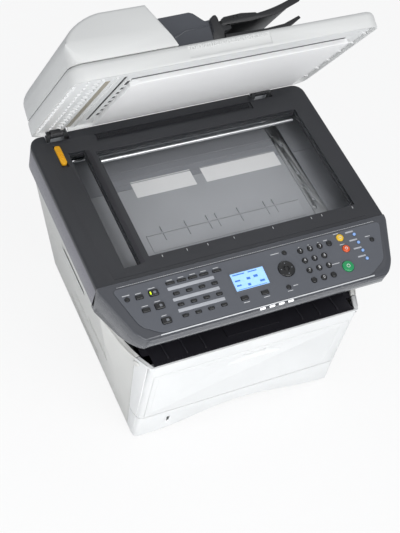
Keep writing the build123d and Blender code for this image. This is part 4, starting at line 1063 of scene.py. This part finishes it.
def makeMultiTray():
    front, low, top, half = body["front"], multiTray["low"], multiTray["top"], multiTray["half"]
    plate = addBlock("multiTray", -half, half, front, front + multiTray["thick"], low, top)
    roundEdges(plate, multiTray["round"], 4, lambda a, b: alongDepth(a, b) and a.z > 100)
    inset, backDepth, backLow = multiTray["back"]
    add(plate, addBlock("back", -half + inset, half - inset, front + 2, front + backDepth, backLow,
                        top - inset))
    left, right, depth, pocketLow, pocketTop = multiTray["pocketBack"]
    add(plate, addBlock("pocketBack", left, right, front + 2, front + depth, pocketLow, pocketTop))
    left, right, slotLow, slotTop = multiTray["slot"]
    middle = (left + right) / 2
    bpy.ops.object.select_all(action="DESELECT")
    bpy.ops.mesh.primitive_uv_sphere_add(segments=48, ring_count=24, radius=1,
                                         location=(middle, front - 1.0, slotLow + 3.5))
    wing = bpy.context.object
    wing.scale = multiTray["wing"]
    bpy.ops.object.transform_apply(location=True, rotation=True, scale=True)
    for vertex in wing.data.vertices:  # the wing's tips bend down
        vertex.co.z -= multiTray["wingBend"] * (vertex.co.x - middle) ** 2
    cut(plate, wing)
    slot = addBlock("slot", left, right, front - 2, front + 6, slotLow, slotTop)
    roundEdges(slot, multiTray["slotRound"], 3, alongDepth)
    cut(plate, slot)
    for x in multiTray["foldLines"]:
        cut(plate, addBlock("foldLine", x, x + 0.7, front - 1, front + 0.35, low + 12, top - 10))
    cut(plate, addBlock("foldLine", -150, 150, front - 1, front + 0.3, top - 9.6, top - 9.2))
    soften(plate, 0.7, 3)
    parts = [plate]
    for sign in (-1, 1):
        hinge = frontCover["hinge"]
        parts.append(addDisc("knuckle", multiTray["knuckleRadius"], hinge,
                             *span(sign, *multiTray["knuckle"]),
                             "x", 24))
        parts.append(addDisc("pin", multiTray["pinRadius"], hinge, *span(sign, *multiTray["pin"]), "x", 20))
    clad(gather("multiTray", parts), machine, "mp_tray", whiteAbs, ["mp_tray"])


cassette = {
    "low": 4.0, "top": 60.0, "arch": 31.0, "archLeft": 150, "archRight": 184, "depth": 14.0,
    "hollow": (2.5, 11.8),
    "gauge": (-129.5, -124.5, 28.0, 42.0), "back": (-178.0, 178.0, 12.0, 14.0, 8.0, 58.0),
}


def archHeight(x):  # the arch of the cassette's lower edge, rising smoothly to the middle
    share = min(1.0, abs(x) / cassette["archLeft" if x < 0 else "archRight"])
    return cassette["low"] + (cassette["arch"] - cassette["low"]) * (0.5 + 0.5 * cos(pi * share))


def faceOutline(inset):
    half = body["half"] - inset
    top = cassette["top"] - inset * 0.6
    arch = [(x, archHeight(x) + inset * 1.6) for x in range(-cassette["archLeft"], 181, 10)]
    low = cassette["low"] + inset
    return [(-half, top), (-half, low)] + arch + [(half, low), (half, top)]


def makeCassetteFace():
    front = body["front"]
    face = addOutline("cassetteFace", faceOutline(0), front, front + cassette["depth"], "y")
    roundEdges(face, body["cornerRound"], 6,
               lambda a, b: upright(a, b) and a.y < front + 0.1 and abs(a.x) > 180)
    near, far = cassette["hollow"]
    cut(face, addOutline("hollow", faceOutline(4), front + near, front + far, "y"))
    left, right, low, high = cassette["gauge"]
    gauge = addBlock("gauge", left, right, front - 3, front + 4, low, high)
    roundEdges(gauge, 1.2, 3, alongDepth)
    cut(face, gauge)
    soften(face, 1.0, 3)
    xLow, xHigh, near, far, zLow, zHigh = cassette["back"]
    back = addBlock("back", xLow, xHigh, front + near, front + far, zLow, zHigh)
    soften(back, 0.4)
    parts = [face, back] + cornerReturns(cassette["low"], cassette["top"])
    clad(gather("cassetteFace", parts), machine, "cassette", whiteAbs, ["cassette_face"])
    marker = addBlock("paperGauge", left + 0.6, right - 0.6, front + 3, front + 3.6, low + 1, high - 6)
    clad(marker, machine, "cassette", trayAbs)


sideCover = {
    "edge": [(-66.6, 214), (-54, 217), (-41, 225), (-28, 240), (-12, 266)],
    "rest": [(-6, 270), (276.8, 270)],
    "foot": [(276.8, 4), (-66.6, 4)], "ventPitch": 4.9, "through": 5.0,
    "vents": (56, 26, 3.0, 13, 5, 6.6, 4.4), "fineVents": (79, 13, 2.2, 96, 5, 4.2, 2.2),
    "louvres": (-4, 11, 7.0, 3.4, 113, 136), "slots": (-26, -20),
    "splitDepths": (-54, -41, -28, -12, 60, 180),
    "splitHeights": (60, 120, 190), "rim": (174.6, 183.6), "rimHigh": 5.0,
    "grip": (68.0, 168.0, 204.5, 219.5), "gripRound": 4.0, "gripLean": 0.782,
    "access": (162.0, 268.0, 150.0, 183.0), "accessLine": 0.9,
}


def makeVents(low, high):  # all openings in a side cover, as one tool
    holes = []
    for grid in ("vents", "fineVents"):  # first place, count and width along Y, then the same along Z
        yStart, columns, wide, zStart, rows, rowPitch, tall = sideCover[grid]
        for row in range(rows):
            for column in range(columns):
                y, z = yStart + column * sideCover["ventPitch"], zStart + row * rowPitch
                holes.append(addBlock("vent", low, high, y, y + wide, z, z + tall))
    start, count, pitch, wide, zLow, zHigh = sideCover["louvres"]
    for number in range(count):
        y = start + number * pitch
        slanted = [(y, zLow), (y + wide, zLow), (y + wide + 3, zHigh), (y + 3, zHigh)]
        holes.append(addOutline("vent", slanted, low, high, "x"))
    for y in sideCover["slots"]:
        holes.append(addBlock("vent", low, high, y, y + 2.4, 6, 14))
    return gather("holes", holes)


def makeSide(name, sign, node):
    outer = sign * body["half"]
    near, far = span(sign, body["half"] - body["wall"], body["half"])
    wall = addOutline(name, sideCover["edge"] + sideCover["rest"] + sideCover["foot"], near, far, "x")
    cut(wall, makeVents(near - sideCover["through"], far + sideCover["through"]))
    yLow, yHigh, zLow, zHigh = sideCover["grip"]
    grip = addBlock("grip", near - 6, far + 6, yLow, yHigh, zLow, zHigh)
    roundEdges(grip, sideCover["gripRound"], 4, alongWidth)
    cut(wall, grip)
    line = sideCover["accessLine"]
    yLow, yHigh, zLow, zHigh = sideCover["access"]
    groove = addBlock("groove", outer - 0.5, outer + 0.5, yLow, yHigh, zLow, zHigh)
    cut(groove, addBlock("inside", outer - 2, outer + 2, yLow + line, yHigh - line, zLow + line,
                         zHigh - line))
    cut(wall, groove)
    for y in sideCover["splitDepths"]:  # the flat wall needs points where it starts to lean
        splitAcross(wall, (0, y, 0), (0, 1, 0))
    for z in sideCover["splitHeights"]:
        splitAcross(wall, (0, 0, z), (0, 0, 1))
    edge = sideCover["edge"]
    under = [(y + 2, z - sideCover["rimHigh"]) for y, z in reversed(edge)]
    rim = addOutline("rim", edge + under, *span(sign, *sideCover["rim"]), "x")
    soften(rim, 1.2, 3)
    wall = gather(name, [wall, rim])
    leanOut(wall)
    clad(wall, machine, "root", shadedWarmAbs, [node], 25)
    yLow, yHigh, zLow, zHigh = sideCover["grip"]
    middle = near - sign * 9
    cup = addBlock(name + "Grip", middle - 7, middle + 7, yLow - 2, yHigh + 2, zLow - 2, zHigh + 2)
    middle = near - sign * 7
    cut(cup, addBlock("hollow", middle - 9, middle + 9, yLow, yHigh, zLow, zHigh))
    soften(cup, 0.6)
    cup.data.transform(Matrix.Translation((sign * flareOf(sign) * sideCover["gripLean"], 0, 0)))
    clad(cup, machine, "root", shadedWarmAbs)


backFace = {
    "outline": [(-180.5, 8), (-238.5, 270), (216.5, 270), (180.5, 8)], "thick": 3.0,
    "doorHalf": 140.0, "doorLow": 70.0, "doorTop": 205.0, "doorGap": 1.0, "doorRound": 1.45,
    "ribs": 17, "ribPitch": 16, "ribHeights": (84, 186), "handle": (-30, 30, 193, 199),
    "sockets": [(-176, -146, 26, 56), (100, 176, 26, 56), (-140, -122, 28, 52)],
    "fan": (0.0, 238.0), "fanRadius": 20.0, "fanPitch": 4.4, "slotHalf": 1.2,
    "upperVents": (-110, 110), "upperHalf": 34, "upperLow": 218, "upperPitch": 7, "upperRows": 6,
    "lowerHalf": 60, "lowerLow": 24, "lowerPitch": 6, "lowerRows": 5,
}


def makeRear():
    yBack = body["rear"]
    before, behind = yBack - 5, yBack + 3
    cover = addOutline("rearCover", backFace["outline"], yBack - backFace["thick"], yBack, "y")
    half, gap = backFace["doorHalf"] + backFace["doorGap"], backFace["doorGap"]
    cut(cover, addBlock("door", -half, half, before, behind, backFace["doorLow"] - gap,
                        backFace["doorTop"] + gap))
    for xLow, xHigh, zLow, zHigh in backFace["sockets"]:
        cut(cover, addBlock("socket", xLow, xHigh, before, behind, zLow, zHigh))
    holes = []
    x, z = backFace["fan"]
    slot = backFace["slotHalf"]
    for row in range(-4, 5):  # round grille, with a bar down its middle
        up = z + row * backFace["fanPitch"]
        reach = (backFace["fanRadius"] ** 2 - (row * backFace["fanPitch"]) ** 2) ** 0.5
        for start, end in ((-reach, -1.0), (1.0, reach)):
            holes.append(addBlock("slot", x + start, x + end, before, behind, up - slot, up + slot))
    for place in backFace["upperVents"]:
        for row in range(backFace["upperRows"]):
            low = backFace["upperLow"] + row * backFace["upperPitch"]
            holes.append(addBlock("slot", place - backFace["upperHalf"], place + backFace["upperHalf"],
                                  before, behind, low, low + 3))
    for row in range(backFace["lowerRows"]):
        low = backFace["lowerLow"] + row * backFace["lowerPitch"]
        holes.append(addBlock("slot", -backFace["lowerHalf"], backFace["lowerHalf"], before, behind, low,
                              low + 2.6))
    cut(cover, gather("holes", holes))
    soften(cover, 0.5, 1)
    clad(cover, machine, "root", shadedWarmAbs, ["rear_cover"])
    half = backFace["doorHalf"]
    door = addBlock("rearDoor", -half, half, yBack - backFace["thick"], yBack, backFace["doorLow"],
                    backFace["doorTop"])
    for number in range(backFace["ribs"]):
        place = (number - backFace["ribs"] // 2) * backFace["ribPitch"]
        cut(door, addBlock("groove", place - 1, place + 1, yBack - 0.8, yBack + 1, *backFace["ribHeights"]))
    roundEdges(door, backFace["doorRound"], 4,
               lambda a, b: max(a.z, b.z) < backFace["doorLow"] + 0.1 and abs(a.x - b.x) > 10)
    left, right, low, high = backFace["handle"]
    handle = addBlock("handle", left, right, yBack - 1, yBack + 5, low, high)
    roundEdges(handle, 2, 4, lambda a, b: max(a.y, b.y) > yBack + 4.9 and abs(a.x - b.x) > 10)
    soften(door, 0.4, 1)
    clad(gather("rearDoor", [door, handle]), machine, "rear_door", shadedWarmAbs, ["rear_door"])


outputTray = {
    "tooth": (-171.0, -169.6, -91.2, -87.0, 212.6, 214.4), "teeth": 82, "toothPitch": 4.2,
    "ribs": (-150, -118, -86, 86, 118, 150),
    "ribSlope": [(-84, 212.6), (170, 172.6), (170, 174.2), (-80, 214.0)],
    "gussets": (-194, 190), "gussetHalf": 9.0, "gusset": [(-48, 226), (-30, 226), (-30, 246)],
}


def makeTrayDetails():
    tooth = addBlock("trayTeeth", *outputTray["tooth"])
    soften(tooth, 0.3, 1)
    teeth = repeat(tooth, [(number * outputTray["toothPitch"], 0, 0)
                           for number in range(outputTray["teeth"])])
    clad(teeth, machine, "root", trayAbs)
    ribs = [addOutline("trayRibs", outputTray["ribSlope"], x - 1, x + 1, "x") for x in outputTray["ribs"]]
    clad(gather("trayRibs", ribs), machine, "root", trayAbs)
    gussets = []
    for x in outputTray["gussets"]:
        wedge = addOutline("trayGussets", outputTray["gusset"], x - outputTray["gussetHalf"],
                           x + outputTray["gussetHalf"], "x")
        soften(wedge, 1.0)
        gussets.append(wedge)
    clad(gather("trayGussets", gussets), machine, "root", labelFilm)


makeFrontCover()
makeMultiTray()
makeCassetteFace()
makeSide("leftCover", -1, "left_cover")
makeSide("rightCover", 1, "right_cover")
makeRear()
makeTrayDetails()
print("body made")


# Feeder works: the dark box beside the hump, the eject tray and the document table above it.
works = {
    "front": -276.0, "rear": -20.0, "floor": 26.6, "cheek": 14.0, "cheekTop": 66.0, "deckTop": 30.5,
    "edge": 1.4,
    "box": [(-80.4, 26.6), (-97.6, 71), (-95, 73), (-47, 74), (-41, 71.5), (-27, 58), (-24, 57.6),
            (-17, 58.5),
            (-16, 40), (-20, 34), (-20, 26.6)],
    "hollow": [(-84, 22), (-84, 49), (-10, 49), (-10, 22)], "hollowInset": 15.0, "lidLines": (-86, -52),
    "ear": [(-22, 26.6), (-22, 56), (-14, 61), (-11, 64), (-7, 64), (-5, 60), (-4, 50), (4, 46), (12, 45),
            (12, 40),
            (0, 38), (-4, 26.6)],
    "crease": [(-79, 44), (-60, 50), (-22, 52), (-22, 49.5), (-60, 47), (-78, 40)],
    "eject": [(2, 32), (60, 30.5), (100, 32.5), (126, 40), (127, 38), (102, 30), (60, 28.4), (2, 29)],
    "ejectRail": [(2, 28), (2, 35.5), (30, 34), (70, 33), (100, 35), (127, 43), (129, 39), (104, 29),
                  (70, 27.2),
                  (12, 26.8)],
    "ejectSpan": (-266.0, -64.0), "ejectRails": (-270.0, -64.0), "ejectRailWide": 5.0,
    "stop": (121, 124, -170, -130, 38, 46),
}


def makeFeederWorks():
    front, back, floorHigh, deck = works["front"], works["rear"], works["floor"], works["deckTop"]
    box = addOutline("feederBox", works["box"], front, back, "y")
    cut(box, addOutline("hollow", works["hollow"], front + works["hollowInset"], back - works["hollowInset"],
                        "y"))
    left, right = works["lidLines"]
    for x in works["lidLines"]:
        cut(box, addBlock("line", x, x + 0.8, front + 8, back - 8, 72.6, 76))
    cut(box, addBlock("line", left, right, front + 8, front + 8.8, 72.6, 76))
    soften(box, works["edge"], 3)
    ears = [addOutline("ear", works["ear"], low, low + works["cheek"], "y")
            for low in (front, back - works["cheek"])]
    for ear in ears:
        soften(ear, 1.0, 3)
    crease = addOutline("crease", works["crease"], front - 0.5, front + 2, "y")
    soften(crease, 0.4)
    inner = [addBlock("cheek", -228, -110, low, low + 6, floorHigh, works["cheekTop"])
             for low in (-262, -36)]
    inner.append(addBlock("deck", -228, -84, -256, -36, floorHigh, deck))
    for part in inner:
        soften(part, 0.8)
    ribs = [addBlock("rib", x, x + 2, -252, -40, deck - 0.5, deck + 2) for x in (-224, -210, -196)]
    clad(gather("feederEars", ears), lidPlane, "lid", innerAbs)
    clad(gather("feederBox", [box, crease] + inner + ribs), lidPlane, "lid", boxAbs,
         ["feeder_frame"])
    eject = addOutline("ejectTray", works["eject"], *works["ejectSpan"], "y")
    rails = [addOutline("rail", works["ejectRail"], low, low + works["ejectRailWide"], "y")
             for low in works["ejectRails"]]
    stop = addBlock("stop", *works["stop"])
    for part in [eject, stop] + rails:
        soften(part, 0.7, 2)
    clad(gather("ejectTray", [eject, stop] + rails), lidPlane, "lid", innerAbs)


table = {
    "length": 148.0, "steps": 14, "hingeHigh": 3.6, "sag": 15.0, "sagShare": 0.86, "drop": 12.0,
    "tip": (1.0, -20.0), "under": [(0.9, -26.0), (0.6, -27.0), (0.3, -17.5), (0.08, -7.5)],
    "heel": [(-2, -3.5), (-2, 3.0)],
    "rails": (-258.0, -42.0), "railWide": 4.0, "plateSpan": (-254.5, -41.5), "plateUnder": (1.2, 4.2),
    "barrelRadius": 3.0, "barrelSpan": (-258.0, -38.0), "middle": -148.0,
    "fence": [(6, -6), (6, 5), (12, 6.5), (40, 0), (62, -9), (68, -17)], "fenceSpan": (102, 105),
    "foot": [(12, -5), (40, -12), (40, -9.5), (12, -2.5)], "footSpan": (102, 93),
    "gripRibs": (20, 26, 32), "gripSpan": (105, 106),
}


def tableCurve(share):  # height of the table's face, from its hinge to its tip
    sag = table["sag"] * sin(pi * min(1, share * table["sagShare"]))
    return table["hingeHigh"] - sag - table["drop"] * share ** 2


def makeDocumentTable():
    length, steps = table["length"], table["steps"]
    top = [(length * step / steps, tableCurve(step / steps)) for step in range(steps + 1)]
    past, tipLow = table["tip"]
    under = [(length + past, tipLow)] + [(length * share, z) for share, z in table["under"]] + table["heel"]
    rails = [addOutline("rail", top + under, low, low + table["railWide"], "y") for low in table["rails"]]
    upper, lower = table["plateUnder"]
    plateOutline = [(x, z - upper) for x, z in top] + [(x, z - lower) for x, z in reversed(top)]
    plate = addOutline("documentTable", plateOutline, *table["plateSpan"], "y")
    barrel = addDisc("barrel", table["barrelRadius"], (0, 0), *table["barrelSpan"], "y", 28)
    for part in rails + [plate]:
        soften(part, 0.8, 2)
    clad(gather("documentTable", [plate, barrel] + rails), tablePlane, "document_table", innerAbs,
         ["document_table"])
    for sign, name in ((-1, "front_document_guide"), (1, "rear_document_guide")):
        fence = addOutline("fence", table["fence"], *span(sign, *table["fenceSpan"], table["middle"]), "y")
        foot = addOutline("foot", table["foot"], *span(sign, *table["footSpan"], table["middle"]), "y")
        for part in (fence, foot):
            soften(part, 0.6, 2)
        ribs = [addBlock("gripRib", x, x + 1.6, *span(sign, *table["gripSpan"], table["middle"]), -6, 1)
                for x in table["gripRibs"]]
        clad(gather(name + "Piece", [fence, foot] + ribs), tablePlane, name, innerAbs, [name])


makeFeederWorks()
makeDocumentTable()
print("feeder made")


# Camera, as the photograph was taken, fitted from the machine's measured corners.
view = {
    "right": (0.89863, -0.40454, 0.16974), "up": (0.23476, 0.77027, 0.59293),
    "back": (-0.37061, -0.49298, 0.78716), "fromSeam": (-0.75341, -0.89886, 1.74649), "lens": 81.48,
}
cameraData = bpy.data.cameras.new("photographCamera")
cameraData.sensor_width = 36
cameraData.lens = view["lens"]
cameraData.clip_end = 50
camera = bpy.data.objects.new("photographCamera", cameraData)
bpy.context.scene.collection.objects.link(camera)
turned = Matrix((view["right"], view["up"], view["back"])).transposed().to_4x4()
camera.matrix_world = Matrix.Translation(Vector(view["fromSeam"]) + Vector((0, seamDepth, 0))) @ turned
bpy.context.scene.camera = camera

# Floor and light: a pale floor under large soft lamps.
light = {
    "worldStrength": 0.44, "floorShine": 0.85,
    "lamps": (  # name, place, aim, size and power
        ("topSoftbox", (0.2, 0.6, 2.2), (0, 0, 0.3), (2.4, 1.6), 3.0),
        ("leftSoftbox", (-2.0, -0.4, 1.0), (0, 0, 0.25), (0.8, 1.6), 4.0),
        ("frontSoftbox", (0.5, -2.3, 0.3), (0, 0, 0.35), (1.8, 0.5), 13.5),
        ("lidSoftbox", (-1.0, -1.1, 0.7), (0, 0.15, 0.5), (0.7, 0.5), 6.0),
        ("glassSoftbox", (0.4, -1.1, 1.9), (0, 0.1, 0.3), (1.2, 0.8), 13.0),
    ),
}
bpy.ops.object.select_all(action="DESELECT")
bpy.ops.mesh.primitive_plane_add(size=30, location=(0, 0, 0))
floor = bpy.context.object
floor.name = "studioFloor"
floorMaterial = bpy.data.materials.new("pale floor")
floorMaterial.use_nodes = True
floorTree = floorMaterial.node_tree
floorShader = floorTree.nodes["Principled BSDF"]
floorShader.inputs["Base Color"].default_value = hexColour("f2f3f4")
floorShader.inputs["Roughness"].default_value = 0.25
bare = addNode(floorTree, "ShaderNodeEmission", {"Color": (1, 1, 1, 1), "Strength": 1.0})
path = addNode(floorTree, "ShaderNodeLightPath", {})
share = addNode(floorTree, "ShaderNodeMath", {"operation": "MULTIPLY"}, [(path, "Is Camera Ray", 0)])
share.inputs[1].default_value = light["floorShine"]
mixed = addNode(floorTree, "ShaderNodeMixShader", {},
                [(share, "Value", 0), (floorShader, "BSDF", 1), (bare, "Emission", 2)])
floorTree.links.new(mixed.outputs["Shader"], floorTree.nodes["Material Output"].inputs["Surface"])
floor.data.materials.append(floorMaterial)

world = bpy.data.worlds.new("studio")
bpy.context.scene.world = world
world.use_nodes = True
worldTree = world.node_tree
ambient = worldTree.nodes["Background"]
ambient.inputs["Color"].default_value = (0.95, 0.97, 1.0, 1)
ambient.inputs["Strength"].default_value = light["worldStrength"]
white = addNode(worldTree, "ShaderNodeBackground", {"Color": (1, 1, 1, 1), "Strength": 1.0})
worldPath = addNode(worldTree, "ShaderNodeLightPath", {})
shown = addNode(worldTree, "ShaderNodeMixShader", {},
                [(worldPath, "Is Camera Ray", 0), (ambient, "Background", 1), (white, "Background", 2)])
worldTree.links.new(shown.outputs["Shader"], worldTree.nodes["World Output"].inputs["Surface"])


def addLamp(name, place, aim, size, power):
    lampData = bpy.data.lights.new(name, "AREA")
    lampData.shape = "RECTANGLE"
    lampData.size, lampData.size_y = size
    lampData.energy = power
    lamp = bpy.data.objects.new(name, lampData)
    bpy.context.scene.collection.objects.link(lamp)
    lamp.location = place
    lamp.rotation_mode = "QUATERNION"
    lamp.rotation_quaternion = (Vector(aim) - Vector(place)).to_track_quat("-Z", "Y")


for lamp in light["lamps"]:
    addLamp(*lamp)
bpy.context.scene.view_settings.view_transform = "Standard"
print("studio ready")
